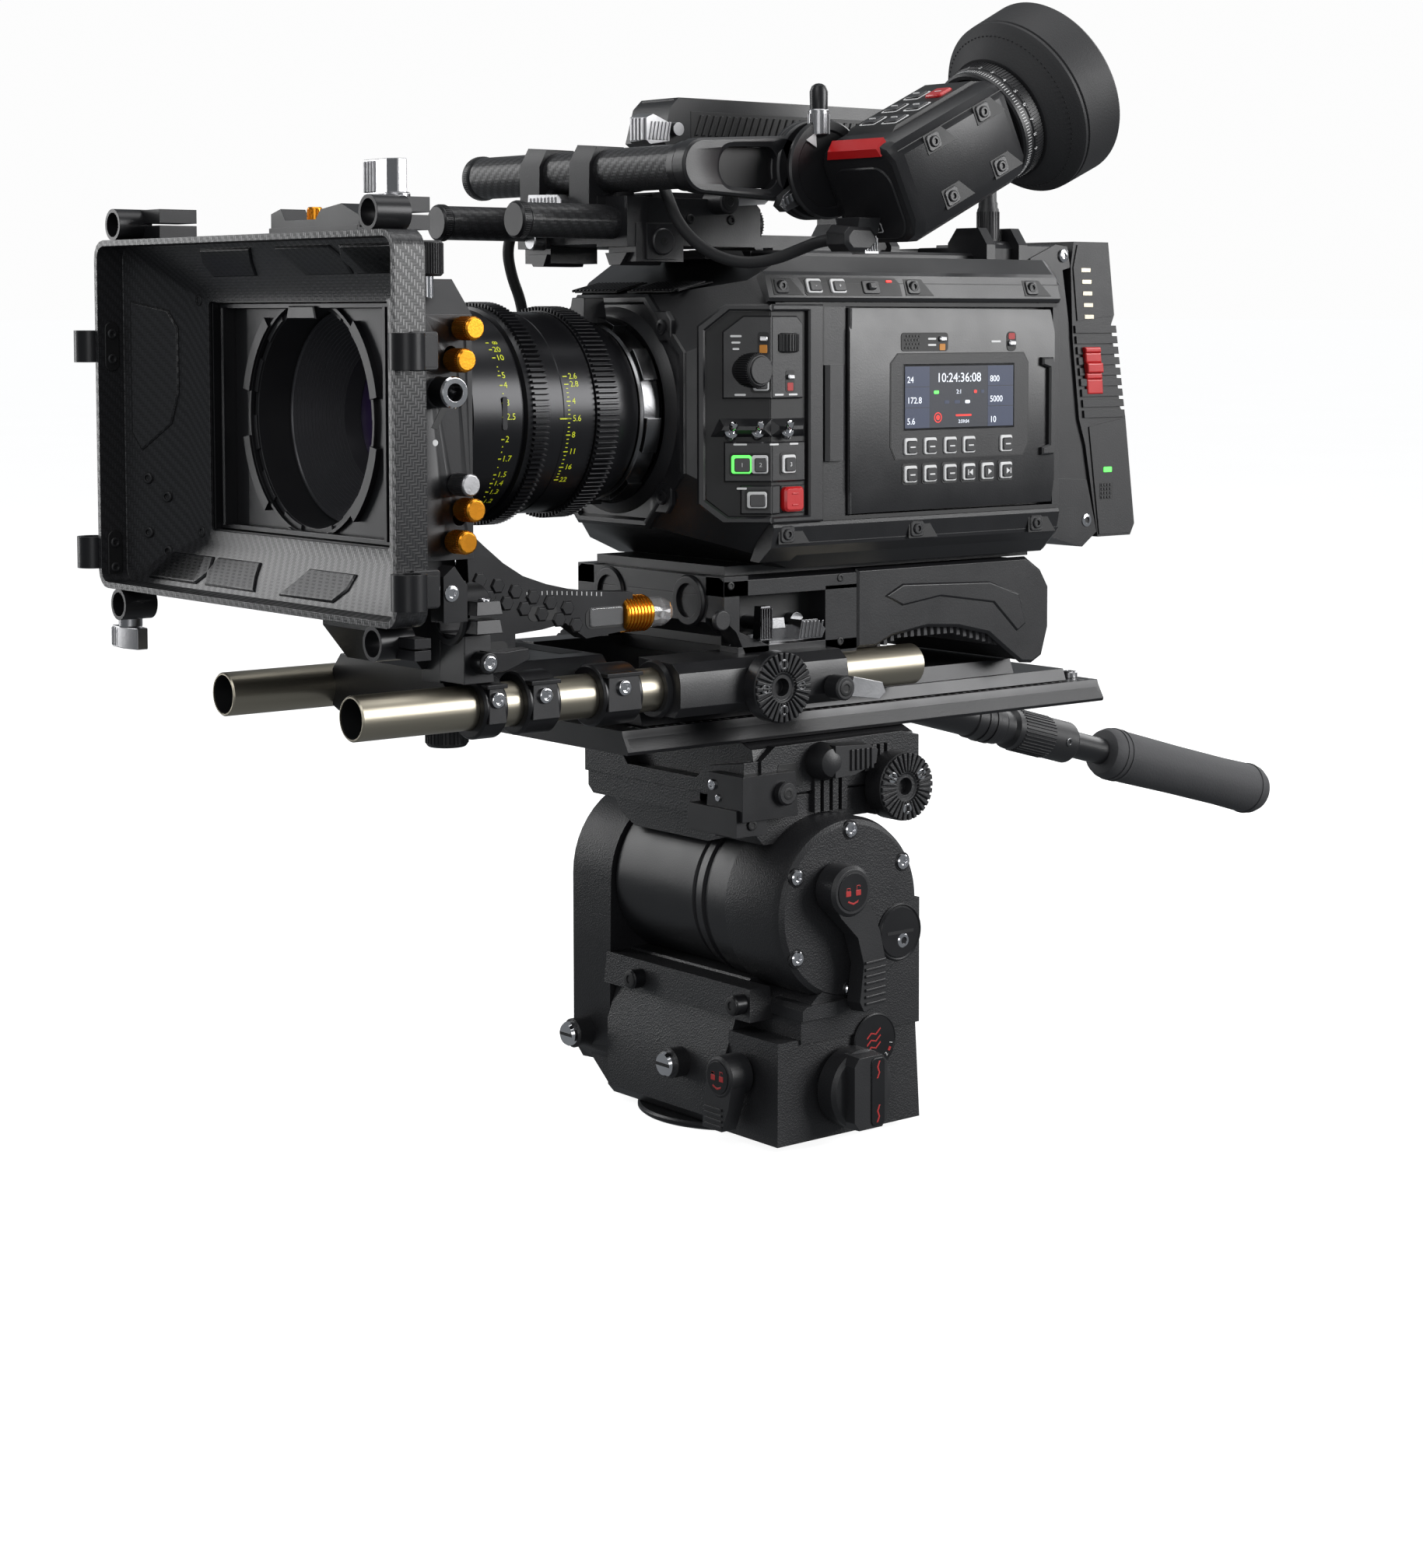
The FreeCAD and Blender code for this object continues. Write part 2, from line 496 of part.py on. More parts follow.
def build_camera():
    """Camera body with its mount plate, the keys and switches on its side, and the door over the screen."""
    half, low, high = (DIMENSIONS[name] for name in ("body_half", "body_low", "body_top"))
    shell = loft(octagon(51, 69, 171, 25, "body_front"), octagon(half, 58, 178, 16, 200),
                 octagon(half, low, high, 12, 220), octagon(half, low, high, 12, 378),
                 octagon(half - 16, low, high, 8, "body_rear"))
    sole = box((-48, 48), (196, 384), ("plate_top", "body_low + 1"))
    rear_face = [(380, 60), (417, 50), (429.2, 56), (406.5, 186.8), (404, 196), (380, 196)]
    back = prism("yz", rear_face, (-48, 48))
    socket = cylinder("y", (0, "lens_z"), (165, 176), "mount_radius + 0.5")
    door_room = box((68.7, 76), (243.9, 373.6), (73.2, 166.7))
    key_rooms = [cylinder("x", spot[1:], (f"{spot[0]} - 5", 80), 4.1) for spot in KEYS.values()]
    toggle_rooms = [cylinder("x", spot[1:], (f"{spot[0]} - 5", 80), 3.2) for spot in TOGGLES]
    rooms = [cylinder("x", DIAL, (64, 80), 7.6), cylinder("z", (72, WHEEL[0]), (147.4, 154), 7.3),
             cylinder("x", RECORD, (70, 80), 6.8)]
    roof_rail = box((-22, 22), (232, 318), (188, 192))
    gland = box((-67, -57), (160.5, 192), (132, 146))
    node("camera_body", cut(fuse(shell, sole, back, roof_rail, gland), socket, door_room, *key_rooms, *toggle_rooms,
                            *rooms))
    leaf = prism("xy", [(69, 244.2), (74.4, 244.2), (77, 247), (77, 369), (74, 373.3), (69, 373.3)],
                 (73.6, 166.3))
    knuckle = cylinder("z", (75.5, 245.5), (73.6, 166.3), 1.3)
    node("monitor_door", fuse(leaf, knuckle))
    node("control_dial", fuse(cylinder("x", DIAL, (65, 76), 7.2), cylinder("x", DIAL, (76, 77), 5.6)))
    node("volume_wheel", cylinder("z", (72, WHEEL[0]), (148, 153.4), 6.9))
    levers = [fuse(cylinder("x", spot[1:], (f"{spot[0]} - 3", f"{spot[0]} + 3"), 1.9),
                   cylinder("x", (spot[1], f"{spot[2]} + 0.5"), (f"{spot[0]} + 2", f"{spot[0]} + 8"), 1.2))
              for spot in TOGGLES]
    node("toggle_switches", *levers)
    node("panel_keys", *[cylinder("x", spot[1:], (f"{spot[0]} - 3.5", f"{spot[0]} + 2.5"), 3.8)
                         for spot in KEYS.values()])
    node("record_button", cylinder("x", RECORD, (71.5, 77.2), 6.4))


def build_battery():
    profile = [(407, 187), (412, 199), (437, 198.6), (442, 161), (449, 117), (457, 59), (452, 53), (430, 53)]
    pack = prism("yz", profile, (-50, 50))
    latch_room = box((46, 51), (414.6, 431), (131.5, 144))
    node("battery", cut(pack, latch_room))
    node("battery_latch", box((48, 53), (418, 430.6), (132, 143.6)))
    masts = [fuse(cylinder("z", (x, 359.5), (187, 196), 9), cylinder("z", (x, 359.5), (187, 216), 5),
                  cylinder("z", (x, 359.5), (216, 246), 4), ball((x, 359.5, 246), 4)) for x in (-45, 45)]
    node("antennas", *[cut(mast, box((-75, 75), (340, 380), (180, "body_top"))) for mast in masts])


def build_top_handle():
    """The handle over the roof, its two posts and the silver lever at its front."""
    grip = prism("yz", [(190, 240), (196, 259), (322, 259), (330, 250), (330, 234), (318, 236), (196, 236)],
                 (-14, 14))
    post = box((-11, 11), (296, 326), (192, 240))
    shoe = box((-19, 19), (236, 318), (192, 199))
    lever_bore = cylinder("x", (195, 246), (-15, 15), 3.05)
    node("top_handle", cut(fuse(grip, post, shoe), lever_bore))
    lever = fuse(cylinder("x", (195, 246), (-17, 17), 3), box((14.4, 17), (178, 198), (240, 250)),
                 box((-17, -14.4), (178, 198), (240, 250)), box((-17, 17), (176, 181), (236, 252)))
    node("handle_lever", lever)


# ---------------------------------------------------------------- viewfinder

def build_finder_support():
    """Two carbon rods, the block that clamps them, the cross tube, and the arm with its tilt lever."""
    block_outline = [(152, 193), (152, 210), (158, 214), (178, 214), (224, 197), (224, 189.4), (165, 189.4)]
    block = prism("yz", block_outline, (-41, 41))
    collars = [box((x, f"{x} + 15"), (139, 163), (207, 237)) for x in (-26, 11)]
    bridge = box((-26, 26), (145, 163), (207, 215))
    rod_bores = [cylinder("y", (side + "light_rod_x", "finder_rod_z"), (130, 215), "finder_rod_radius + 0.05")
                 for side in ("0 + ", "0 - ")]
    tube_bore = cylinder("x", ("cross_y", "cross_z"), (-40, 40), "cross_radius + 0.05")
    lever_bore = cylinder("y", (0, 211), (140, 160), 2.55)
    roof_room = box((-23, 23), (185, 240), (188, 192.3))
    shoe_room = box((-20, 20), (231, 240), (188, 200))
    node("viewfinder_mount", cut(fuse(block, *collars, bridge), *rod_bores, tube_bore, lever_bore, roof_room,
                                 shoe_room))
    rods = []
    for side in ("0 + ", "0 - "):
        axis = (side + "light_rod_x", "finder_rod_z")
        rods.append(fuse(cylinder("y", axis, (101, 205), "finder_rod_radius"), cylinder("y", axis, (96, 101), 8)))
    node("viewfinder_rods", *rods)
    lever = fuse(cylinder("y", (0, 211), (138, 158), 2.5), cylinder("y", (0, 211), (134, 144.6), 5),
                 box((-4, 4), (132, 136), (211, 229)))
    node("mount_lever", lever)
    tube = ring("x", ("cross_y", "cross_z"), (-71, 83.7), "cross_radius", "cross_radius - 2")
    cap = cylinder("x", ("cross_y", "cross_z"), (-77, -71), "cross_radius + 0.6")
    node("cross_tube", tube, cap)
    arm_outline = [(139, 216), (139, 235), (150, 240), (196, 243), (196, 208), (150, 212)]
    hub = ("hub_y", "hub_z")
    arm = fuse(prism("yz", arm_outline, (84, 92)), cylinder("x", hub, (84, 92), "hub_radius"))
    recess = box((86, 96), (160, 190), (219, 232.5))
    node("viewfinder_arm", cut(arm, recess, cylinder("x", hub, (80, 97), 5.05)))
    blade = prism("yz", [(203, 224), (206, 215), (199, 210.2), (191, 206.8), (187.4, 209.4), (197, 219)],
                  (92.4, 96.9))
    node("viewfinder_lever", fuse(ring("x", hub, (92.4, 96.9), 14, 5.35), blade))


FINDER_KEYS = (("- 7", 22), ("+ 7", 22), ("- 7", 36), ("+ 7", 36), ("- 7", 50), ("+ 7", 50))


def build_viewfinder():
    """The viewfinder, tipped up to the rear: body with its hub, dioptre ring, eyecup and keys."""
    nose = ("finder_x", "finder_y", "finder_z")

    def tipped(item):
        return turned(item, FreeCAD.Vector(1, 0, 0), DIMENSIONS["finder_angle"], nose)

    low, high = "finder_z - 23.5", "finder_z + 23.5"
    half = "finder_half"
    section = [(f"finder_x - {half}", "finder_z - 15"), ("finder_x - 17", low), ("finder_x + 17", low),
               (f"finder_x + {half}", "finder_z - 15"), (f"finder_x + {half}", "finder_z + 14"),
               ("finder_x + 16", high), ("finder_x - 16", high), (f"finder_x - {half}", "finder_z + 14")]
    case = prism("xz", section, ("finder_y", "finder_y + 72"))
    collar = cylinder("y", ("finder_x", "finder_z"), ("finder_y + 60", "finder_y + 96"), 23)
    keypad = box(("finder_x - 14", "finder_x + 14"), ("finder_y + 14", "finder_y + 62"),
                 (f"{high} - 1", f"{high} + 2"))
    key_rooms = [box((f"finder_x {x} - 5.2", f"finder_x {x} + 5.2"), (f"finder_y + {y} - 5.2",
                     f"finder_y + {y} + 5.2"), (f"{high} + 0.2", f"{high} + 5")) for x, y in FINDER_KEYS]
    optics = cylinder("y", ("finder_x", "finder_z"), ("finder_y + 70", "finder_y + 100"), 17)
    body = tipped(cut(fuse(case, collar, keypad), *key_rooms, optics))
    hub = fuse(cylinder("x", ("hub_y", "hub_z"), (97.3, 100), "hub_radius"),
               cylinder("x", ("hub_y", "hub_z"), (86.2, 98), 5))
    knob_axis = (98.5, "hub_y - 4")
    knob = fuse(cylinder("z", knob_axis, (240, 252), 2.5), cylinder("z", knob_axis, (251, 262), 5.5))
    node("viewfinder_body", fuse(body, hub, knob))
    ring_span = ("finder_y + 72.3", "finder_y + 84")
    axis = ("finder_x", "finder_z")
    node("diopter_ring", tipped(ring("y", axis, ring_span, 26, 23.05)))
    cup = [(84.5, 23.05), (84.5, 28), (96, "cup_radius - 1"), (98, "cup_radius"), (120, "cup_radius"),
           (120, "cup_radius - 4"), (100, "cup_radius - 5"), (96.2, 18), (96.2, 23.05)]
    cup_points = [(f"{along} + finder_y", radius) for along, radius in cup]
    node("eyecup", tipped(lathe("y", axis, cup_points)))
    keys = [box((f"finder_x {x} - 4.8", f"finder_x {x} + 4.8"), (f"finder_y + {y} - 4.8", f"finder_y + {y} + 4.8"),
                (f"{high} + 1.4", f"{high} + 3.2")) for x, y in FINDER_KEYS]
    node("viewfinder_keys", *[tipped(key) for key in keys])


# ---------------------------------------------------------------- cable

def round_path(points):
    """Straight runs joined by tangent arcs, each as large as its two runs allow."""
    edges = []
    here = points[0]
    length = 0.0
    for before, corner, after in zip(points, points[1:], points[2:]):
        incoming, outgoing = corner - before, after - corner
        turn = incoming.getAngle(outgoing)
        setback = 0.45 * min(incoming.Length, outgoing.Length)
        radius = setback / math.tan(turn / 2)
        print(f"cable arc radius {radius:.1f} mm, run {incoming.Length:.1f} mm")
        first = corner - incoming.normalize() * setback
        last = corner + outgoing.normalize() * setback
        inward = (last + first) / 2 - corner
        middle = corner + inward.normalize() * (radius / math.cos(turn / 2) - radius)
        edges.append(Part.LineSegment(here, first).toShape())
        edges.append(Part.Arc(first, middle, last).toShape())
        length += (first - here).Length + radius * turn
        here = last
    edges.append(Part.LineSegment(here, points[-1]).toShape())
    return Part.Wire(edges), length + (points[-1] - here).Length


CABLE_ROUTE = ((115.5, 206, 195), (104, 206, 195), (92, 204, 191.5), (81, 197, 186.5), (71, 186, 185),
               (63, 174, 190), (56, 165, 201), (50, 163, 214), (38, 169, 222), (21, 177, 222), (2, 182, 220),
               (-18, 183, 221), (-35, 177, 221), (-47.5, 166.5, 217), (-56, 157.5, 207),
               (-60.5, 154.5, 194), (-62, 158, 181), (-62, 163.5, 169), (-62, 165.5, 155), (-62, 165.5, 146))


def build_cable():
    """The lead from the viewfinder's plug, behind the clamp block, to the far side of the camera's front."""
    plug = fuse(box((115.5, 129), (196, 214), (190, 198)), box((117, 127), (209, 219), (191, 197)))
    node("viewfinder_plug", plug)
    route = [FreeCAD.Vector(*point) for point in CABLE_ROUTE]
    path, length = round_path(route)
    circle = Part.Circle(route[0], route[1] - route[0], DIMENSIONS["cable_radius"]).toShape()
    tube = path.makePipeShell([Part.Wire([circle])], True, False)
    section = math.pi * DIMENSIONS["cable_radius"] ** 2
    print(f"cable length {length:.1f} mm, volume {tube.Volume:.0f} against {section * length:.0f} mm3")
    item = doc.addObject("Part::Feature", "Cable")
    item.Shape = tube
    node("viewfinder_cable", item)


for build in (build_head, build_platform_clamp, build_pan_bar, build_dovetail, build_bridge_plate,
              build_shoulder_pad, build_rods, build_rod_bridge, build_cradle, build_matte_box,
              build_flag_clamps, build_lens, build_camera, build_battery, build_top_handle,
              build_finder_support, build_viewfinder, build_cable):
    build()

doc.recompute()
for item in doc.Objects:
    if "Invalid" in item.State or "Error" in item.State:
        raise RuntimeError(f"{item.Name} ({item.TypeId}) failed: {item.State}")
os.makedirs("parts", exist_ok=True)
for label, item in nodes.items():
    if item.Shape.isNull() or not item.Shape.isValid():
        raise RuntimeError(f"{label} has no valid shape")
    if not item.Shape.Solids:
        raise RuntimeError(f"{label} has no solid")
    item.Shape.exportStep(f"parts/{label}.step")
print(len(nodes), "sub-parts")
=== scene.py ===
"""Looks of the cinema camera rig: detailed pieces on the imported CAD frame, materials, camera and light."""
import json
import math

import bmesh
import bpy
from mathutils import Matrix, Vector


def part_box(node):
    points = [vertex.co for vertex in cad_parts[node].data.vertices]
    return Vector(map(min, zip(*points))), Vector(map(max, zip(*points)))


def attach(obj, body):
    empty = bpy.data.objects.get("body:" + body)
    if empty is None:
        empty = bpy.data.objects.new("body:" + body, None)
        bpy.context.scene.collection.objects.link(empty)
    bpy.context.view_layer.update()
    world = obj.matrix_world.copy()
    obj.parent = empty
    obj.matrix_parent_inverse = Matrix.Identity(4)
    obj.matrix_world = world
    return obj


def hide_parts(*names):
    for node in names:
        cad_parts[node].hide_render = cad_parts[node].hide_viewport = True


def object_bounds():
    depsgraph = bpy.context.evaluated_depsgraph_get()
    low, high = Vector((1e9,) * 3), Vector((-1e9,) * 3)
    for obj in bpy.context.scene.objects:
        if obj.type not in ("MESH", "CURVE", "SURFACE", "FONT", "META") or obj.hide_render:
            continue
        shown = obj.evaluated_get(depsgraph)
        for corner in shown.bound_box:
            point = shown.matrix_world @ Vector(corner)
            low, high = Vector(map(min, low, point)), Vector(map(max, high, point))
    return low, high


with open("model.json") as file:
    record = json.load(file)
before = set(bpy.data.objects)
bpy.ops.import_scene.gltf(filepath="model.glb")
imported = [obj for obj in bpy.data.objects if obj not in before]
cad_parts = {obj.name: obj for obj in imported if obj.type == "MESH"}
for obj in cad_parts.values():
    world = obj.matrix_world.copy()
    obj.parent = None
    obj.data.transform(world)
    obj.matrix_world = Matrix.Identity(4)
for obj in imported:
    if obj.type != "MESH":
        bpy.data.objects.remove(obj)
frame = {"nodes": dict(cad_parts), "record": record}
CAD_BOX = [list(corner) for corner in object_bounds()]


# ---------------------------------------------------------------- places

# Sizes below are millimetres from the front ends of the support rods: X across, Y to the rear, Z up.
MM = 0.001
_rod_low, _rod_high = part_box("support_rods")
ORIGIN = Vector((0, _rod_low.y, (_rod_low.z + _rod_high.z) / 2))
LENS_Z = 120
LENS_AXIS = (0, LENS_Z)
TILT = (242.5, -104.4)
NOSE_X, NOSE_Y, NOSE_Z = 123, 215, 213
FINDER_NOSE = Vector((NOSE_X, NOSE_Y, NOSE_Z))
FINDER_HUB = (212, 225.5)
ROD_X = 52
FINDER_ANGLE = math.radians(25.5)
BODY_OF = {name: body for body, names in frame["record"]["behaviour"]["bodies"].items() for name in names}
FINDER = (Matrix.Translation(FINDER_NOSE) @ Matrix.Rotation(FINDER_ANGLE, 4,
                                                            "X") @ Matrix.Translation(-FINDER_NOSE))


def basis(origin, right, up):
    """A matrix whose X and Y axes are right and up, standing at origin."""
    right, up = Vector(right).normalized(), Vector(up).normalized()
    out = right.cross(up).normalized()
    up = out.cross(right)
    turn = Matrix((right, up, out)).transposed().to_4x4()
    return Matrix.Translation(Vector(origin)) @ turn


def facing(side, x):
    """Origin, right and up of a plane that faces out, at x, on one side of the rig."""
    return (side * x, 0, 0), (0, side, 0), (0, 0, 1)


# ---------------------------------------------------------------- materials

def node_maker(material):
    """A function that adds nodes to a material and joins or sets their inputs."""
    tree = material.node_tree

    def make(kind, **inputs):
        item = tree.nodes.new(kind)
        for name, value in inputs.items():
            socket = item.inputs[name.replace("_", " ")]
            if isinstance(value, bpy.types.NodeSocket):
                tree.links.new(value, socket)
            else:
                socket.default_value = value
        return item

    return make


def surface(name, colour, rough, metal=0.0, grain=900.0, bump=0.05, vary=0.06, coat=0.0, stretch=(1, 1, 1),
            patches=60.0):
    """A surface with fine grain in its bump, and slow patches in its colour and roughness."""
    material = bpy.data.materials.new(name)
    material.use_nodes = True
    shader = material.node_tree.nodes["Principled BSDF"]
    make = node_maker(material)
    link = material.node_tree.links.new
    place = make("ShaderNodeTexCoord").outputs["Object"]
    scaled = make("ShaderNodeMapping", Vector=place, Scale=stretch).outputs["Vector"]
    slow = make("ShaderNodeTexNoise", Vector=scaled, Scale=patches, Detail=3.0)
    fine = make("ShaderNodeTexNoise", Vector=scaled, Scale=grain, Detail=2.0)
    rough_range = make("ShaderNodeMapRange", Value=slow.outputs["Fac"], To_Min=rough - vary,
                       To_Max=rough + vary)
    link(rough_range.outputs["Result"], shader.inputs["Roughness"])
    mix = make("ShaderNodeMix", Factor=slow.outputs["Fac"])
    mix.data_type = "RGBA"
    mix.inputs["A"].default_value = (*[c * 0.85 for c in colour], 1)
    mix.inputs["B"].default_value = (*[min(1, c * 1.18) for c in colour], 1)
    link(slow.outputs["Fac"], mix.inputs["Factor"])
    link(mix.outputs["Result"], shader.inputs["Base Color"])
    relief = make("ShaderNodeBump", Strength=bump, Distance=0.0004, Height=fine.outputs["Fac"])
    link(relief.outputs["Normal"], shader.inputs["Normal"])
    shader.inputs["Metallic"].default_value = metal
    shader.inputs["Coat Weight"].default_value = coat
    return material


def crackle(name, colour):
    """Cast metal under wrinkle paint: small rounded bumps."""
    material = surface(name, colour, 0.42, vary=0.07)
    tree = material.node_tree
    make = node_maker(material)
    place = next(item for item in tree.nodes if item.type == "TEX_COORD").outputs["Object"]
    pebbles = make("ShaderNodeTexVoronoi", Vector=place, Scale=1300.0)
    relief = next(item for item in tree.nodes if item.type == "BUMP")
    relief.inputs["Strength"].default_value = 0.26
    tree.links.new(pebbles.outputs["Distance"], relief.inputs["Height"])
    return material


def weave(name, cell, light, dark, rough=0.32):
    """Carbon twill on the UV map, which holds millimetres: two by two floats that step along the diagonal,
    each float's raised middle painted lighter as a painted highlight.
    """
    material = bpy.data.materials.new(name)
    material.use_nodes = True
    shader = material.node_tree.nodes["Principled BSDF"]
    make = node_maker(material)
    link = material.node_tree.links.new
    uv = make("ShaderNodeUVMap").outputs["UV"]
    axes = make("ShaderNodeSeparateXYZ", Vector=uv)

    def maths(operation, first, second=0.0):
        item = make("ShaderNodeMath")
        item.operation = operation
        for socket, value in zip(item.inputs, (first, second)):
            if isinstance(value, bpy.types.NodeSocket):
                link(value, socket)
            else:
                socket.default_value = value
        return item.outputs[0]

    column = maths("FLOOR", maths("DIVIDE", axes.outputs["X"], cell))
    row = maths("FLOOR", maths("DIVIDE", axes.outputs["Y"], cell))
    step = maths("FLOORED_MODULO", maths("ADD", column, row), 4.0)
    warp = maths("LESS_THAN", step, 1.5)
    along = maths("PINGPONG", maths("DIVIDE", axes.outputs["X"], cell), 0.5)
    across = maths("PINGPONG", maths("DIVIDE", axes.outputs["Y"], cell), 0.5)
    crown = maths("MULTIPLY", maths("ADD", maths("MULTIPLY", warp, along),
                                    maths("MULTIPLY", maths("SUBTRACT", 1.0, warp), across)), 2.0)
    mix = make("ShaderNodeMix")
    mix.data_type = "RGBA"
    mix.inputs["A"].default_value = (*dark, 1)
    mix.inputs["B"].default_value = (*light, 1)
    # Warp lighter than weft is the twill pattern; the crown term lightens each float's raised middle as a
    # painted highlight.
    link(maths("MULTIPLY", maths("ADD", maths("MULTIPLY", warp, 0.75), maths("MULTIPLY", crown, 0.25)),
               1.0), mix.inputs["Factor"])
    link(mix.outputs["Result"], shader.inputs["Base Color"])
    gloss = make("ShaderNodeMapRange", Value=warp, To_Min=rough + 0.16, To_Max=rough)
    link(gloss.outputs["Result"], shader.inputs["Roughness"])
    relief = make("ShaderNodeBump", Strength=0.25, Distance=0.0003, Height=crown)
    link(relief.outputs["Normal"], shader.inputs["Normal"])
    shader.inputs["Coat Weight"].default_value = 0.25
    shader.inputs["Coat Roughness"].default_value = 0.2
    return material


def glow(name, colour, strength):
    """A lit surface whose brightness wavers slightly, as behind a diffuser."""
    material = surface(name, [c * 0.4 for c in colour], 0.4)
    shader = material.node_tree.nodes["Principled BSDF"]
    make = node_maker(material)
    place = make("ShaderNodeTexCoord").outputs["Object"]
    waver = make("ShaderNodeTexNoise", Vector=place, Scale=200.0)
    mix = make("ShaderNodeMix", Factor=waver.outputs["Fac"])
    mix.data_type = "RGBA"
    mix.inputs["A"].default_value = (*[c * 0.88 for c in colour], 1)
    mix.inputs["B"].default_value = (*colour, 1)
    material.node_tree.links.new(mix.outputs["Result"], shader.inputs["Emission Color"])
    shader.inputs["Emission Strength"].default_value = strength
    return material


def coated_glass(name):
    """Dark multicoated glass: a polished surface that turns violet and blue towards its rim."""
    material = surface(name, (0.006, 0.004, 0.012), 0.03, vary=0.01, bump=0.0, coat=1.0)
    shader = material.node_tree.nodes["Principled BSDF"]
    make = node_maker(material)
    facing = make("ShaderNodeLayerWeight", Blend=0.35).outputs["Facing"]
    ramp = make("ShaderNodeValToRGB", Fac=facing)
    ramp.color_ramp.elements[0].color = (0.004, 0.003, 0.01, 1)
    ramp.color_ramp.elements[1].color = (0.07, 0.03, 0.16, 1)
    material.node_tree.links.new(ramp.outputs["Color"], shader.inputs["Base Color"])
    shader.inputs["Coat Roughness"].default_value = 0.02
    return material


BLACK = (0.012, 0.012, 0.0135)
MATERIALS = {
    "shell": surface("camera_shell", BLACK, 0.36, bump=0.10, grain=1500),
    # Darker shell: the real colour of seams and dark screw heads, and also painted shade in wells, pockets,
    # slots, vents and bores.
    "shell_dark_and_painted_shade": surface("camera_shell_dark", (0.006, 0.006, 0.0065), 0.5),
    "anodised": surface("black_anodised", (0.011, 0.011, 0.0125), 0.34, metal=0.25, grain=1800),
    "lens": surface("lens_anodised", (0.012, 0.012, 0.014), 0.3, metal=0.4, grain=2500, bump=0.03, vary=0.02),
    # Lighter copy of the lens anodising for the stepped front cone: painted light on the steps.
    "lens_cone_painted_light": surface("lens_cone_painted_light", (0.05, 0.05, 0.055), 0.34, metal=0.3, grain=2500, bump=0.03, vary=0.02),
    "plastic": surface("black_plastic", (0.014, 0.014, 0.0155), 0.45, bump=0.12, grain=1300),
    "rubber": surface("black_rubber", (0.017, 0.017, 0.0185), 0.62, bump=0.2, grain=1100),
    "grip": surface("foam_grip", (0.05, 0.05, 0.053), 0.7, bump=0.35, grain=700),
    "titanium": surface("titanium", (0.42, 0.385, 0.31), 0.36, metal=1.0, stretch=(1, 0.02, 1), bump=0.06,
                        vary=0.05),
    "silver": surface("silver_anodised", (0.42, 0.42, 0.43), 0.3, metal=1.0, bump=0.08),
    "chrome": surface("polished_chrome", (0.75, 0.75, 0.77), 0.09, metal=1.0, bump=0.01, vary=0.02),
    "steel": surface("dark_steel", (0.2, 0.2, 0.205), 0.25, metal=1.0),
    "amber": surface("amber_anodised", (0.68, 0.27, 0.02), 0.26, metal=0.9, bump=0.05),
    "red": surface("red_plastic", (0.55, 0.012, 0.014), 0.3, coat=0.3),
    "white": surface("white_print", (0.75, 0.75, 0.75), 0.4),
    "yellow": surface("yellow_print", (0.72, 0.78, 0.02), 0.45),
    "dark_red": surface("red_print", (0.42, 0.02, 0.02), 0.5),
    "orange": surface("orange_print", (0.6, 0.23, 0.02), 0.5),
    "key": surface("key_cap", (0.02, 0.02, 0.022), 0.35, coat=0.2),
    "crackle": crackle("wrinkle_paint", (0.016, 0.016, 0.0175)),
    "twill": weave("carbon_twill_fine", 1.25, (0.02, 0.02, 0.022), (0.006, 0.006, 0.007), 0.36),
    "tube_twill": weave("carbon_twill_tube", 1.4, (0.02, 0.02, 0.022), (0.008, 0.008, 0.009), 0.5),
    "glass": coated_glass("coated_glass"),
    "screen": glow("screen_blue", (0.028, 0.042, 0.095), 0.6),
    "screen_dark": glow("screen_dark", (0.012, 0.016, 0.03), 0.5),
    "screen_edge": surface("screen_edge", (0.01, 0.01, 0.011), 0.12, coat=0.5),
    "screen_text": glow("screen_text", (0.85, 0.9, 1.0), 1.1),
    "green": glow("green_light", (0.12, 1.0, 0.12), 1.6),
    "red_light": glow("red_light", (1.0, 0.03, 0.02), 0.8),
    "clear": surface("clear_acrylic", (0.75, 0.75, 0.76), 0.06, coat=0.5),
}
MATERIALS["clear"].node_tree.nodes["Principled BSDF"].inputs["Transmission Weight"].default_value = 0.85


# ---------------------------------------------------------------- mesh making

def shrunk(points, inset):
    """An outline that runs anticlockwise, with each edge moved in by inset."""
    moved = []
    for before, here, after in zip(points[-1:] + points[:-1], points, points[1:] + points[:1]):
        first = (Vector(here) - Vector(before)).normalized()
        second = (Vector(after) - Vector(here)).normalized()
        across = Vector((-first.y, first.x)) + Vector((-second.y, second.x))
        reach = inset * 2 / max(across.length_squared, 1.2)
        moved.append((here[0] + across.x * reach, here[1] + across.y * reach))
    return moved


def rounded(low, high, radius, steps=4):
    """A rectangle between two corners with round corners, anticlockwise."""
    points = []
    corners = ((high[0], high[1], 0), (low[0], high[1], 90), (low[0], low[1], 180), (high[0], low[1], 270))
    for across, up, start in corners:
        centre = (across - math.copysign(radius, across - (low[0] + high[0]) / 2),
                  up - math.copysign(radius, up - (low[1] + high[1]) / 2))
        for step in range(steps + 1):
            turn = math.radians(start + 90 * step / steps)
            points.append((centre[0] + radius * math.cos(turn), centre[1] + radius * math.sin(turn)))
    return points


def oval(centre, size, radius, steps=4):
    """A rounded rectangle round a centre."""
    return rounded((centre[0] - size[0] / 2, centre[1] - size[1] / 2), (centre[0] + size[0] / 2,
                                                                        centre[1] + size[1] / 2), radius,
                   steps)


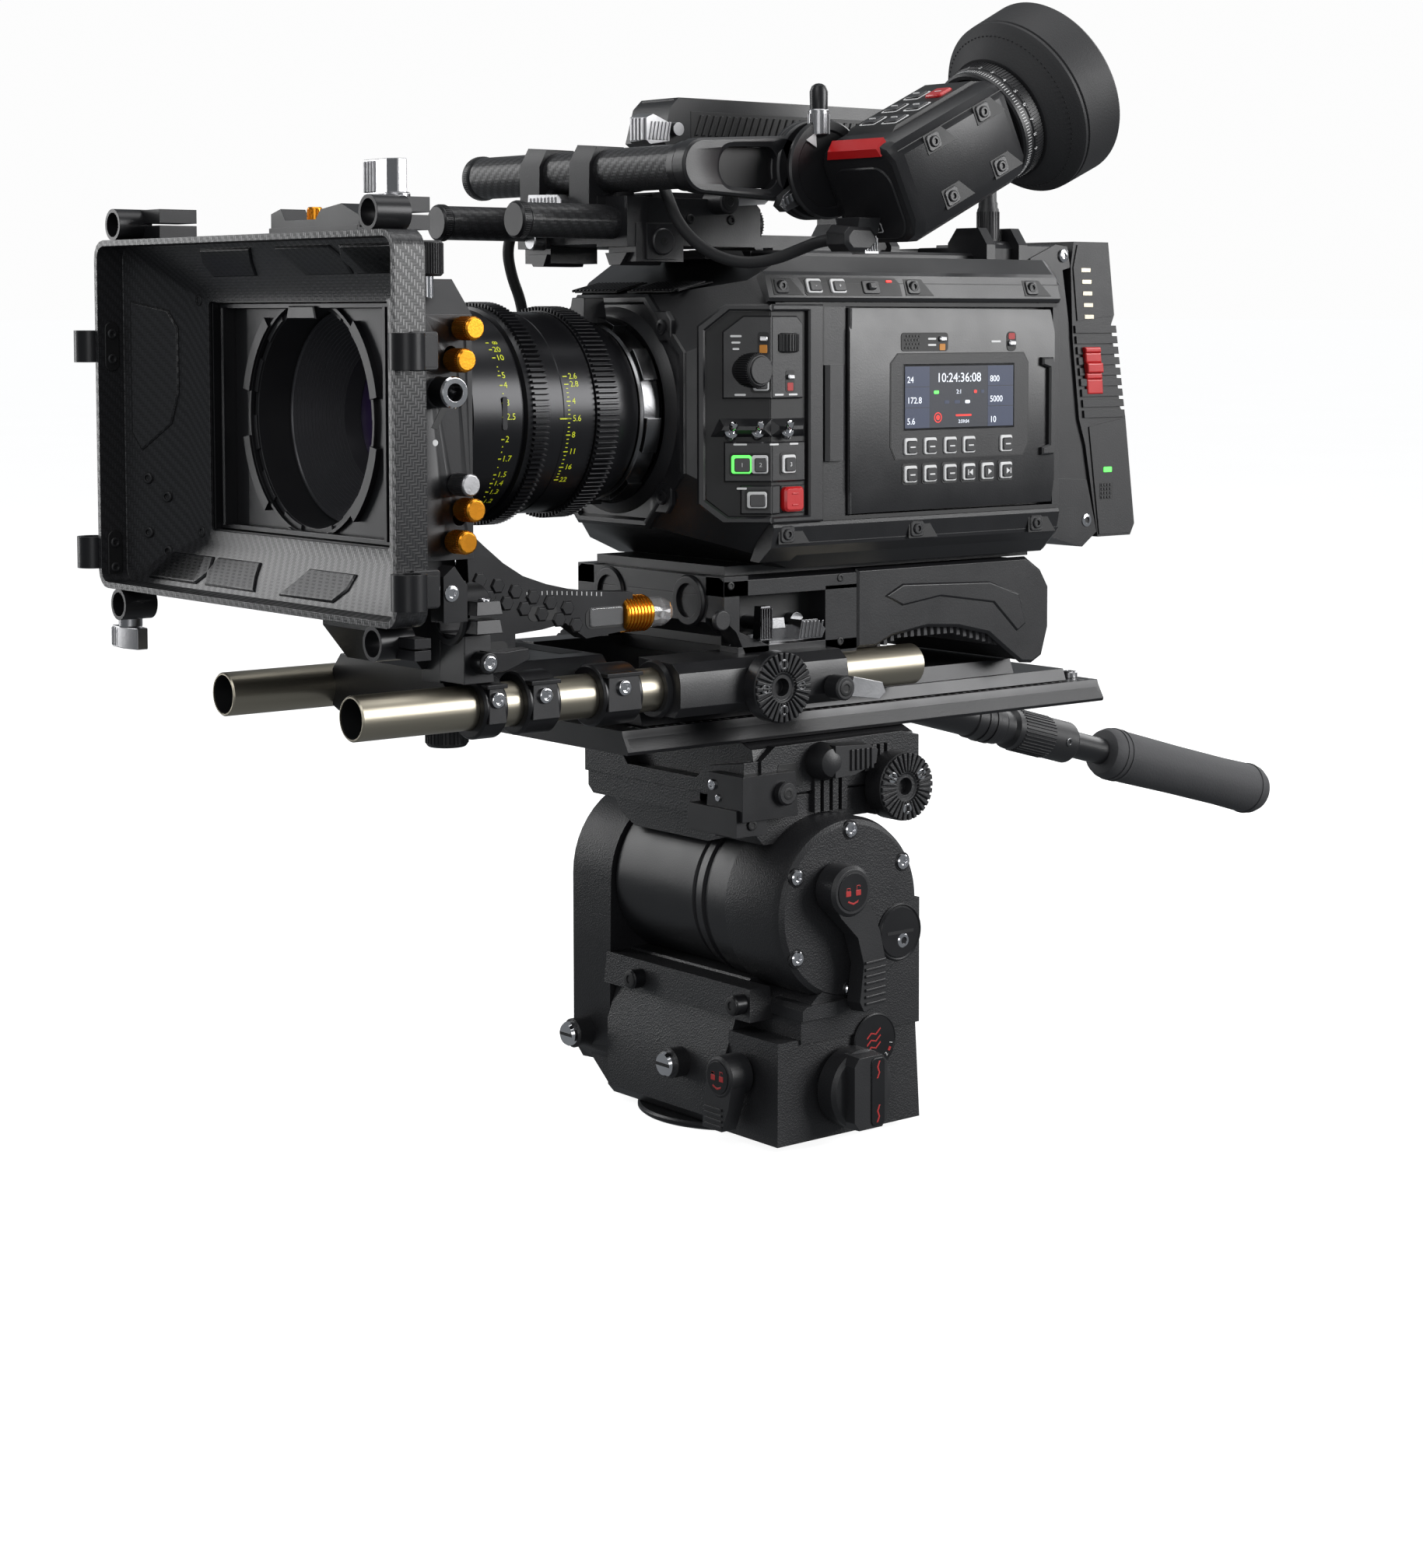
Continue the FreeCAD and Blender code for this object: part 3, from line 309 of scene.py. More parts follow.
class Mould:
    """Collects shapes in millimetres in one bmesh, then turns them into one piece of the model."""

    def __init__(self, material="plastic"):
        self.bm = bmesh.new()
        self.uv = self.bm.loops.layers.uv.new("UVMap")
        self.slots = []
        self.matrix = Matrix()
        self.use(material)

    def use(self, material):
        """Later shapes get this material."""
        if material not in self.slots:
            self.slots.append(material)
        self.slot = self.slots.index(material)
        return self

    def add(self, vertices, faces, uvs=None):
        """Puts vertices and faces in the bmesh, with UVs in millimetres."""
        made = [self.bm.verts.new(self.matrix @ Vector(vertex)) for vertex in vertices]
        for number, face in enumerate(faces):
            new = self.bm.faces.new([made[index] for index in face])
            new.material_index = self.slot
            new.smooth = True
            if uvs:
                for loop, uv in zip(new.loops, uvs[number]):
                    loop[self.uv].uv = uv
            else:
                self.flat_uv(new)
        return made

    def flat_uv(self, face):
        """Millimetres across the face's dominant plane."""
        face.normal_update()
        axis = max(range(3), key=lambda index: abs(face.normal[index]))
        first, second = [index for index in range(3) if index != axis]
        for loop in face.loops:
            loop[self.uv].uv = (loop.vert.co[first], loop.vert.co[second])

    def box(self, x, y, z, taper=0.0):
        """A box; taper draws its +Z (or last) face in on all sides."""
        corners = []
        for level, inset in ((z[0], 0.0), (z[1], taper)):
            corners += [(x[0] + inset, y[0] + inset, level), (x[1] - inset, y[0] + inset, level),
                        (x[1] - inset, y[1] - inset, level), (x[0] + inset, y[1] - inset, level)]
        faces = [(3, 2, 1, 0), (4, 5, 6, 7), (0, 1, 5, 4), (1, 2, 6, 5), (2, 3, 7, 6), (3, 0, 4, 7)]
        return self.add(corners, faces)

    def prism(self, plane, points, span, inset=0.0):
        """An outline carried along its normal; inset draws the far face in towards its middle."""
        def lift(first, second, level):
            """A place on the outline, raised to a level along the plane's normal."""
            return {"yz": (level, first, second), "xz": (first, level, second),
                    "xy": (first, second, level)}[plane]
        count = len(points)
        area = sum(a[0] * b[1] - b[0] * a[1] for a, b in zip(points, points[1:] + points[:1]))
        if (area < 0) != (plane == "xz"):
            points = points[::-1]
        centre = [sum(point[index] for point in points) / count for index in (0, 1)]
        far = []
        for first, second in points:
            away = Vector((first - centre[0], second - centre[1]))
            away = away - away.normalized() * inset
            far.append((centre[0] + away.x, centre[1] + away.y))
        vertices = [lift(*point, span[0]) for point in points] + [lift(*point, span[1]) for point in far]
        sides = [(n, (n + 1) % count, count + (n + 1) % count, count + n) for n in range(count)]
        caps = [tuple(range(count - 1, -1, -1)), tuple(range(count, 2 * count))]
        return self.add(vertices, sides + caps)

    def lathe(self, axis, centre, profile, sides=48, closed=True, start=0.0, sweep=360.0):
        """A profile of (along, radius) points turned round an axis; a radius of zero closes it."""
        whole = abs(sweep - 360) < 1e-6
        steps = sides if whole else sides + 1
        spots = []
        for step in range(steps):
            angle = math.radians(start + sweep * step / sides)
            for along, radius in profile:
                first, second = radius * math.cos(angle), radius * math.sin(angle)
                spots.append({"x": (along, centre[0] + first, centre[1] + second),
                              "y": (centre[0] + first, along, centre[1] + second),
                              "z": (centre[0] + first, centre[1] + second, along)}[axis])
        count = len(profile)
        faces, uvs = [], []
        largest = max(radius for along, radius in profile)
        path = [0.0]
        for before, after in zip(profile, profile[1:] + profile[:1]):
            path.append(path[-1] + math.dist(before, after))
        for step in range(sides):
            here, there = step * count, (step + 1) % steps * count
            round_here = math.radians(sweep * step / sides) * largest
            round_there = math.radians(sweep * (step + 1) / sides) * largest
            for index in range(count if closed else count - 1):
                after = (index + 1) % count
                if profile[index][1] == 0 and profile[after][1] == 0:
                    continue
                faces.append((here + index, here + after, there + after, there + index))
                uvs.append([(round_here, path[index]), (round_here, path[index + 1]),
                            (round_there, path[index + 1]), (round_there, path[index])])
        if closed and not whole:
            faces += [tuple(range(count)), tuple(range(sides * count + count - 1, sides * count - 1, -1))]
            uvs += [list(profile)] * 2
        return self.add(spots, faces, uvs)

    def plate(self, points, height, inset=0.0, origin=(0, 0, 0), right=(0, 1, 0), up=(0, 0, 1), sink=0.3):
        """A raised panel: an outline in the plane of right and up, whose top face is drawn in by inset."""
        if sum(a[0] * b[1] - b[0] * a[1] for a, b in zip(points, points[1:] + points[:1])) < 0:
            points = points[::-1]
        turn = basis(origin, right, up)
        levels = [(points, -sink), (points, max(0.0, height - inset)), (shrunk(points, inset), height)]
        if inset <= 0:
            levels = [(points, -sink), (points, height)]
        count = len(points)
        spots = [turn @ Vector((*point, level)) for outline, level in levels for point in outline]
        faces = [tuple(range(count - 1, -1, -1)), tuple(range((len(levels) - 1) * count,
                                                              len(levels) * count))]
        for ring in range(len(levels) - 1):
            base = ring * count
            faces += [(base + n, base + (n + 1) % count, base + count + (n + 1) % count,
                       base + count + n) for n in range(count)]
        return self.add(spots, faces)

    def loft(self, sections, close=False, caps=True):
        """Faces between outlines of the same count; close joins the last one to the first."""
        count = len(sections[0])
        spots = [point for section in sections for point in section]
        pairs = list(zip(range(len(sections)), range(1, len(sections))))
        if close:
            pairs.append((len(sections) - 1, 0))
        faces = [(here * count + n, here * count + (n + 1) % count, there * count + (n + 1) % count,
                  there * count + n) for here, there in pairs for n in range(count)]
        if caps and not close:
            last = (len(sections) - 1) * count
            faces += [tuple(range(count - 1, -1, -1)), tuple(range(last, last + count))]
        return self.add(spots, faces)

    def cylinder(self, axis, centre, span, radius, last=None, sides=32, bevel=0.0):
        """A closed cylinder or cone, with a bevel at both ends if asked."""
        last = radius if last is None else last
        profile = [(span[0], 0), (span[0], radius - bevel)]
        profile += [(span[0] + bevel, radius), (span[1] - bevel, last)] if bevel else []
        profile += [(span[1], last - bevel), (span[1], 0)]
        return self.lathe(axis, centre, profile, sides, closed=False)

    def ring(self, axis, centre, span, outer, inner, sides=48):
        """A tube with square ends."""
        profile = [(span[0], inner), (span[0], outer), (span[1], outer), (span[1], inner)]
        return self.lathe(axis, centre, profile, sides)

    def teeth(self, axis, centre, span, radius, count, depth, width=0.5):
        """Ribs standing round a cylinder, as on a gear or a knurled grip."""
        for tooth in range(count):
            angle = math.tau * tooth / count
            half = math.tau / count * width / 2
            ring = [(radius - 0.3, angle - half), (radius + depth, angle - half * 0.6),
                    (radius + depth, angle + half * 0.6), (radius - 0.3, angle + half)]
            spots = []
            for along in span:
                for distance, turn in ring:
                    first = centre[0] + distance * math.cos(turn)
                    second = centre[1] + distance * math.sin(turn)
                    spots.append({"x": (along, first, second), "y": (first, along, second),
                                  "z": (first, second, along)}[axis])
            self.add(spots, [(0, 1, 5, 4), (1, 2, 6, 5), (2, 3, 7, 6), (3, 2, 1, 0), (4, 5, 6, 7)])

    def knob(self, axis, centre, span, radius, bevel, grip, count, depth):
        """A cylinder with ribs over the part of it named by grip."""
        self.cylinder(axis, centre, span, radius, bevel=bevel)
        return self.teeth(axis, centre, grip, radius, count, depth)

    def ridges(self, count, axis, pitch, *box):
        """The same box a number of times, a pitch apart along an axis."""
        number = "xyz".index(axis)
        for step in range(count):
            moved = list(box)
            moved[number] = tuple(end + step * pitch for end in box[number])
            self.box(*moved)

    def screw(self, place, direction, radius, head="hex", material="steel", proud=0.8):
        """A screw head standing a little proud, with its socket or slot."""
        before, keep = self.matrix, self.slots[self.slot]
        up = Vector((0, 0, 1)) if abs(Vector(direction).normalized().z) < 0.9 else Vector((0, 1, 0))
        right = up.cross(Vector(direction))
        self.matrix = before @ basis(place, right, up)
        self.use(material)
        rim = [(-1.5, radius), (proud * 0.6, radius), (proud, radius * 0.82), (proud, radius * 0.5),
               (proud * 0.1, radius * 0.46), (proud * 0.1, 0)]
        if head == "slot":
            self.lathe("z", (0, 0), [(-1.5, radius), (proud * 0.6, radius), (proud, radius * 0.85),
                                     (proud, 0)], 24, closed=False)
            # The slot is a dark bar on the head: painted shade in the slot.
            self.use("shell_dark_and_painted_shade")
            self.box((-radius * 0.85, radius * 0.85), (-radius * 0.13, radius * 0.13),
                     (proud * 0.9, proud + 0.05))
        else:
            self.lathe("z", (0, 0), rim, 6 if head == "nut" else 20, closed=False)
        self.matrix = before
        self.use(keep)

    def text(self, words, place, right, up, size, material="white", lift=0.06, centred=True):
        """Printed characters, as thin raised letters."""
        curve = bpy.data.curves.new("Letters", "FONT")
        curve.body = words
        curve.size = size
        curve.extrude = 0.03
        curve.resolution_u = 3
        curve.align_x = "CENTER" if centred else "LEFT"
        curve.align_y = "CENTER"
        holder = bpy.data.objects.new("Letters", curve)
        mesh = bpy.data.meshes.new_from_object(holder)
        turn = self.matrix @ basis(place, right, up) @ Matrix.Translation((0, 0, lift))
        keep = self.slots[self.slot]
        self.use(material)
        known = set(self.bm.faces)
        mesh.transform(turn)
        self.bm.from_mesh(mesh)
        for face in self.bm.faces:
            if face not in known:
                face.material_index = self.slot
        self.use(keep)
        bpy.data.objects.remove(holder)
        bpy.data.curves.remove(curve)
        bpy.data.meshes.remove(mesh)

    def piece(self, name, node=None, bevel=0.4, segments=2, hides=True, also=(), angle=32):
        """The finished object, riding on its node's body in place of the node of that name."""
        bmesh.ops.recalc_face_normals(self.bm, faces=self.bm.faces)
        mesh = bpy.data.meshes.new(name)
        self.bm.transform(Matrix.Translation(ORIGIN) @ Matrix.Scale(MM, 4))
        self.bm.to_mesh(mesh)
        self.bm.free()
        return seat(name, mesh, self.slots, node or name, bevel, segments, hides, also, angle)


def seat(name, mesh, slots, node, bevel, segments, hides, also, angle):
    """A mesh in the scene with its materials and rounded edges, riding on its node's body."""
    item = bpy.data.objects.new(name, mesh)
    bpy.context.scene.collection.objects.link(item)
    for slot in slots:
        mesh.materials.append(MATERIALS[slot])
    mesh.shade_smooth()
    mesh.set_sharp_from_angle(angle=math.radians(angle))
    if bevel:
        edge = item.modifiers.new("Rounded edges", "BEVEL")
        edge.width = bevel * MM
        edge.segments = segments
        edge.limit_method = "ANGLE"
        edge.angle_limit = math.radians(angle)
        edge.use_clamp_overlap = True
        edge.harden_normals = True
    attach(item, BODY_OF[node])
    if hides:
        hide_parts(node, *also)
    return item


def skin(node, material, bevel=0.5, angle=30, also=()):
    """The node's own shape with its edges rounded, and flat UVs in millimetres."""
    source = frame["nodes"][node].data
    bm = bmesh.new()
    bm.from_mesh(source)
    bmesh.ops.remove_doubles(bm, verts=bm.verts, dist=1e-6)
    bmesh.ops.dissolve_limit(bm, angle_limit=math.radians(1), verts=bm.verts, edges=bm.edges)
    layer = bm.loops.layers.uv.verify()
    bm.normal_update()
    for face in bm.faces:
        axis = max(range(3), key=lambda index: abs(face.normal[index]))
        first, second = [index for index in range(3) if index != axis]
        face.material_index = 0
        for loop in face.loops:
            loop[layer].uv = (loop.vert.co[first] / MM, loop.vert.co[second] / MM)
    mesh = bpy.data.meshes.new(node + "_skin")
    bm.to_mesh(mesh)
    bm.free()
    return seat(node + "_skin", mesh, [material], node, bevel, 2, True, also, angle)


# ---------------------------------------------------------------- matte box

def hood_section(half, low, top, y, radius):
    """One upright rounded rectangle of the hood, in a plane across the rig."""
    return [(x, y, z) for x, z in rounded((-half, low), (half, top), radius)]


WALLS = {
    "left": ((-119.3, -9.5, 119), (0.892, 0.452, 0), (0, 0, 1)),
    "right": ((119.3, -9.5, 119), (-0.892, 0.452, 0), (0, 0, -1)),
    "low": ((0, -9.5, 45.6), (1, 0, 0), (0, 0.647, 0.763)),
    "top": ((0, -9.5, 192.6), (-1, 0, 0), (0, 0.622, -0.783)),
}


def build_hood():
    """The carbon hood: straight rim, walls that taper to an inner frame, and moulded panels."""
    mould = Mould("twill")
    mould.loft([hood_section(122, 42.9, 195.3, -22, 8), hood_section(122, 42.9, 195.3, -8, 8),
                hood_section(95.5, 61, 180, 7.8, 5), hood_section(72, 69.5, 168.5, 7.8, 2),
                hood_section(72, 69.5, 168.5, 6.4, 2), hood_section(89.5, 63.4, 173.6, 5.4, 3),
                hood_section(119.3, 45.6, 192.6, -9.5, 5.5), hood_section(119.3, 45.6, 192.6, -22, 5.5)],
               close=True)
    for side in (-1, 1):
        ends = sorted((side * 102, side * 60))
        for wall in ("low", "top"):
            origin, right, up = WALLS[wall]
            near = [(ends[0], 2.5), (ends[1], 2.5), (ends[1] + 5, 9), (ends[1], 17), (ends[0] + 6, 17)]
            mirrored = near if side < 0 else [(-across, rise) for across, rise in near]
            mould.plate(mirrored, 1.1, 0.7, origin, right, up)
            middle = [(side * 52, 2.5), (side * 10, 2.5), (side * 16, 10), (side * 20, 17), (side * 56, 17),
                      (side * 57, 9)]
            mould.plate(middle, 1.1, 0.7, origin, right, up)
    for wall in ("left", "right"):
        mould.plate([(4, -8), (9, -16), (25, -4), (29, 10), (29, 38), (24, 46), (4, 50)], 1.2, 0.8,
                    *WALLS[wall])
    mould.use("shell_dark_and_painted_shade")
    for side in (-1, 1):
        for z in (149, 57):
            mould.plate(oval((side * 15.5, z), (7, 22), 3.4), 0.8, 0.3, (side * 119.3, 0, 0), (0, -side, 0),
                        (0, 0, 1))
            for lift in (-5.5, 5.5):
                mould.screw((side * 118.6, -15.5, z + lift), (-side, 0, 0), 2.3, material="plastic")
        for z in (169.2, 68.3):
            mould.screw((side * 79.5, 6.2, z), (0, -1, 0), 2.6, material="plastic")
    for along, up in ((12, -28), (22, -36), (12, -52), (22, -60)):
        spot = basis(*WALLS["left"]) @ Vector((along, up, 0))
        mould.screw(spot, (0.452, -0.892, 0), 2.5, material="plastic", proud=1.2)
    mould.piece("matte_box_hood", bevel=0.5, angle=40)


def build_stage():
    """The filter stage behind the hood: block, window ledges, bayonet ring, and marks on its near side."""
    skin("matte_box_stage", "anodised", 0.7)
    mould = Mould("anodised")
    ledge = [(-70.8, 70.2), (70.8, 70.2), (70.8, 72.6), (-70.8, 72.6)]
    for outline in (ledge, [(x, 238 - z) for x, z in ledge]):
        mould.plate(outline, 1.0, 0.3, (0, 12, 0), (1, 0, 0), (0, 0, 1), sink=2.5)
    mould.plate([(-12, 161), (12, 161), (10, 166.5), (-10, 166.5)], 1.5, 0.5, (0, 11, 0), (1, 0, 0),
                (0, 0, 1))
    for start in range(10, 370, 60):
        mould.lathe("y", LENS_AXIS, [(12.4, 49.4), (12.4, 54.5), (15.2, 54.5), (15.2, 49.4)], 10, True,
                    start, 38)
    mould.lathe("y", LENS_AXIS, [(13.4, 48.9), (13.4, 50.4), (15.2, 50.4), (15.2, 48.9)], 64)
    for side in (-1, 1):
        mould.box(sorted((side * 64, side * 66)), (9, 15), (72, 166))
    mould.use("white").plate(oval((13.4, 112.6), (2.6, 2.6), 1.25), 0.12, origin=(95, 0, 0))
    mould.use("shell_dark_and_painted_shade").plate([(11.6, 118.6), (14.4, 117.6), (19.4, 126.4), (17, 128)], 0.1,
                                  origin=(95, 0, 0))
    mould.use("silver").knob("x", (23, 96), (94.8, 106), 4.3, 0.5, (96, 105.2), 36, 0.25)
    mould.use("chrome").lathe("x", (15.7, 132.5), [(94.8, 3.4), (94.8, 6.3), (97, 5.6), (103, 5.6),
                                                   (105.2, 6.4), (106, 5.8), (106, 3.6)], 32)
    mould.piece("matte_box_stage_trim", "matte_box_stage", hides=False, bevel=0.25)


def build_donut():
    """The donut between stage and lens: two rims with notches cut between them."""
    mould = Mould("plastic")
    mould.lathe("y", LENS_AXIS, [(15.6, 46.3), (15.6, 49), (24, 49), (28, 47.4), (41, 46.9), (41, 45.6),
                                 (26, 45.6)], 96)
    for start in range(0, 360, 30):
        mould.lathe("y", LENS_AXIS, [(14.6, 46.4), (14.6, 48.9), (15.9, 48.9), (15.9, 46.4)], 6, True,
                    start, 18)
    mould.piece("donut_ring", bevel=0.3)


def build_stage_knobs():
    """Knurled amber knobs of the filter trays, and the black knob on the chrome stem."""
    mould = Mould("amber")
    for y, z in ((25, 157.5), (21, 145), (25, 86), (21, 73.5)):
        mould.cylinder("x", (y, z), (87, 96), 3)
        mould.knob("x", (y, z), (95.5, 106.6), 4.5, 0.7, (97, 105), 34, 0.3)
    mould.piece("filter_knobs", bevel=0.15)
    mould = Mould("chrome")
    mould.cylinder("z", (86, 16), (163, 178), 2.6)
    mould.use("plastic").knob("z", (86, 16), (178, 192), 6.3, 0.8, (179, 191), 40, 0.35)
    mould.piece("stage_lock_knob", bevel=0.15)


def build_flag_clamps():
    """Split tube clamps on the hood's rim, their lugs, levers, and the black bracket on the top edge."""
    mould = Mould("anodised")
    for side in (-1, 1):
        for z, lug in ((201.8, 1), (36.4, -1)):
            mould.ring("y", (side * 104, z), (-22, -6.5), 6.9, 5.25)
            if lug > 0:
                ends = sorted((side * 84, side * 101))
                mould.box(ends, (-10, 8), (195.6, 201.4))
                mould.box(ends, (-10, 8), (202.4, 208.4))
            else:
                ends = sorted((side * 108, side * 121.5))
                mould.box(ends, (-14, -6.5), (30.5, 34.4))
                mould.box(ends, (-14, -6.5), (35.2, 39))
        for z in (51, 142):
            mould.ring("z", (side * 129, -21), (z, z + 14), 6.9, 4.85)
            mould.plate(oval((-9.5, z + 7), (13, 15), 1.5), 1.0, 0.4, (side * 122.3, 0, 0), (0, side, 0),
                        (0, 0, 1))
            ends = sorted((side * 122, side * 130.5))
            mould.box(ends, (-15, -8.5), (z + 1, z + 13))
    for z in (149.5, 57):
        mould.plate(oval((-7.5, z), (9, 13), 1.5), 9, 0.8, (112, 0, 0), sink=2)
    mould.prism("yz", [(1, 44), (12, 44), (12, 58), (6, 66), (1, 62)], (110, 119))
    mould.screw((119, 4.6, 55.4), (1, 0, 0), 3.2, material="chrome")
    mould.prism("xz", [(-24, 198), (-24, 205), (-16, 207), (-12, 202), (12, 202), (16, 206), (32, 208),
                       (46, 203), (46, 198)], (10, 22))
    mould.box((-24, 46), (9, 15), (179, 199))
    mould.use("amber").knob("z", (0, 17), (196, 207.5), 3.1, 0.5, (199, 206.5), 26, 0.25)
    mould.piece("flag_clamps", bevel=0.5)

    mould = Mould("silver")
    mould.cylinder("z", (90, 0), (199, 209.5), 2.4)
    mould.cylinder("z", (90, 0), (206.4, 210.5), 5.2, bevel=0.6)
    mould.prism("xy", [(70, -3), (80, -3.6), (90, -4.5), (94, -2), (94, 2), (90, 4.5), (80, 3.6), (70, 3)],
                (209.5, 223.5))
    mould.ridges(4, "x", 2.2, (72, 73.2), (-4.2, 4.2), (210.5, 222.8))
    mould.piece("flag_lever_top", bevel=0.6)
    mould = Mould("silver")
    mould.cylinder("z", (-116, -10), (24, 37), 2.4)
    mould.cylinder("z", (-116, -10), (24.5, 29.8), 5.2, bevel=0.6)
    mould.prism("xy", [(-128, -13), (-116, -14.5), (-105, -12.6), (-105, -7.4), (-116, -5.5), (-128, -7)],
                (15.5, 25))
    mould.ridges(5, "x", 2.4, (-127, -125.8), (-14, -6), (16.2, 24.4))
    mould.piece("flag_lever_bottom", bevel=0.5)


# ---------------------------------------------------------------- lens

FOCUS_MARKS = {"8": 43, "20": 38.3, "10": 33, "5": 22.5, "4": 17, "3": 7.5, "2.5": 0, "2": -12, "1.7": -23,
               "1.5": -32.7, "1.4": -38.6, "1.3": -45, "1.2": -53}
IRIS_MARKS = {"2.6": 22, "2.8": 17.4, "4": 7.8, "5.6": -1.8, "8": -11, "11": -20.7, "16": -30.5, "22": -39.3}
FOCUS_TICKS = (27.5, 25, 12.5, 4, -6, -16, -19, -28, -35.5, -41.5, -49)
IRIS_TICKS = (15, 12.6, 10.2, 5.4, 3, 0.6, -4.2, -6.6, -9, -13.4, -15.8, -18.2, -23, -25.5, -28, -33, -35,
              -37)


def on_lens(radius, y, degrees):
    """A point on the lens at an angle above the operator's side, and the way round at it."""
    turn = math.radians(degrees)
    return (radius * math.cos(turn), y, LENS_Z + radius * math.sin(turn)), (-math.sin(turn), 0,
                                                                            math.cos(turn))


def engrave(mould, words, radius, y, degrees, size):
    """Yellow characters that follow the lens barrel."""
    place, up = on_lens(radius, y, degrees)
    mould.text(words, place, (0, 1, 0), up, size, "yellow", centred=False)


def tick(mould, radius, y, degrees, length, width=0.45):
    """A yellow scale mark that runs along the lens."""
    place, up = on_lens(radius, 0, degrees)
    mould.use("yellow").plate([(y, -width / 2), (y + length, -width / 2), (y + length, width / 2),
                               (y, width / 2)], 0.1, 0, place, (0, 1, 0), up)


def build_focus_ring():
    """The focus ring: distance scale, and gear teeth at its rear."""
    mould = Mould("lens")
    mould.lathe("y", LENS_AXIS, [(64, 40.2), (64, 43), (65, 45.2), (89.3, 45.4), (90, 44.5), (90.8, 44.5),
                                 (91.6, 46.4), (94, 46.8), (94, 46.6), (102, 46.6), (102, 40.2)], 128)
    mould.teeth("y", LENS_AXIS, (94.2, 101.8), 46.6, 121, 1.9, 0.6)
    for words, degrees in FOCUS_MARKS.items():
        if words == "8":
            place, up = on_lens(45.4, 82, degrees)
            mould.text("8", (place[0], place[1] + 1.6, place[2]), [-value for value in up], (0, 1, 0), 3.7,
                       "yellow")
        else:
            engrave(mould, words, 45.4, 81.2, degrees, 3.9)
        tick(mould, 45.4, 79.2, degrees, 1.5)
    for degrees in FOCUS_TICKS:
        tick(mould, 45.4, 80, degrees, 0.5)
    mould.piece("focus_ring", bevel=0.2)


def build_iris_ring():
    """The iris ring, toothed all round."""
    mould = Mould("lens")
    mould.lathe("y", LENS_AXIS, [(128.7, 40.2), (128.7, 44.8), (139.9, 44.8), (139.9, 40.2)], 128)
    mould.teeth("y", LENS_AXIS, (128.9, 139.6), 44.8, 117, 1.9, 0.6)
    mould.piece("iris_ring", bevel=0.2)


def build_barrel():
    """The barrel: stepped front cone, bands between the rings, iris scale, and the taper to the mount."""
    steps = []
    for step in range(15):
        along, radius = 31 + step * 1.2, 43.4 - step
        steps += [(along, radius), (along, radius - 0.6)]
    outer = [(30.9, 44.2), (31, 45.1), (36, 45.1), (36.8, 45.3), (62.6, 45.3), (63.5, 44), (63.5, 39.9),
             (102.4, 39.9), (102.4, 43.8), (103, 44.4), (104.4, 44.4), (104.8, 43.9), (111.6, 43.9),
             (112, 44.2), (128, 44.2), (128.2, 39.9), (140.4, 39.9), (140.4, 43.9), (144, 43.6),
             (154.8, 39.2), (155.6, 38.4), (155.6, 36.2), (170.5, 36), (170.5, 22), (64, 22), (57.5, 29.2)]
    mould = Mould("lens")
    mould.lathe("y", LENS_AXIS, outer, 128)
    rim = [(31.2, 45), (30.4, 44.6), (30.4, 43.8)]
    # The stepped cone uses the lighter copy of the lens colour: painted light on its steps.
    mould.use("lens_cone_painted_light").lathe("y", LENS_AXIS, rim + steps + [(56, 28.8)], 128, closed=False)
    mould.use("lens")
    for words, degrees in IRIS_MARKS.items():
        engrave(mould, words, 44.2, 116.2, degrees, 3.7)
        tick(mould, 44.2, 113.2, degrees, 2.2)
    tick(mould, 44.2, 109.6, -1.8, 5.6, 0.5)
    for degrees in IRIS_TICKS:
        tick(mould, 44.2, 113.8, degrees, 1.1, 0.35)
    mould.use("lens").plate(oval((80.5, 0), (2.4, 14), 1.1), 0.1, origin=on_lens(45.45, 0, 2)[0])
    mould.piece("lens_barrel", bevel=0.15)
    glass = Mould("glass")
    dome = [(50 + 6 * (step / 8) ** 2, 28.6 * step / 8) for step in range(9)]
    glass.lathe("y", LENS_AXIS, dome + [(58, 28.6)], 64, closed=False)
    glass.piece("lens_glass", bevel=0, angle=60)


def build_mount_ring():
    """The polished breech ring that locks the lens, with its grip tabs."""
    mould = Mould("steel")
    mould.lathe("y", LENS_AXIS, [(156.2, 36.2), (156.2, 38.6), (157.4, 39.8), (166, 40.4), (166, 36.2)], 96)
    for start in (20, 65, 110, 155, 200, 245, 290, 335):
        mould.lathe("y", LENS_AXIS, [(157.6, 39), (157.6, 42.2), (165.4, 42.4), (165.4, 39)], 10, True,
                    start, 22)
    mould.use("plastic").box((-6, 6), (150, 163), (159, 170.5), 1.2)
    mould.piece("mount_lock_ring", bevel=0.4)


# ---------------------------------------------------------------- camera

SIDE = 75
CHAMFER = ((51, 171, 0), (0.6376, 0.7704, 0), (0, 0, 1))
STRIP = ((76.9, 0, 171), (0, 1, 0), (-0.33, 0, 0.944))
FACING = (0.7704, -0.6376, 0)


def slant(y):
    """Distance along the chamfer beside the lens mount, for a place measured along Y."""
    return (y - 171) / 0.7704


def side_screw(mould, y, z, x=SIDE, radius=2.6):
    """A screw in a pocket that runs out to the rear; the pocket is a dark plate, painted shade standing in
    for the recess.
    """
    # Painted shade: a dark plate where the pocket's recess would fall into shade.
    mould.use("shell_dark_and_painted_shade").plate([(y - 5, z - 4.4), (y + 13, z - 4.4), (y + 6.5, z + 4.4),
                                   (y - 5, z + 4.4)], 0.25, 0.1, (x, 0, 0))
    mould.use("shell").plate(oval((y, z), (8, 7.4), 1.6), 0.9, 0.4, (x, 0, 0))
    mould.screw((x + 0.9, y, z), (1, 0, 0), radius, material="shell")
    mould.use("shell")


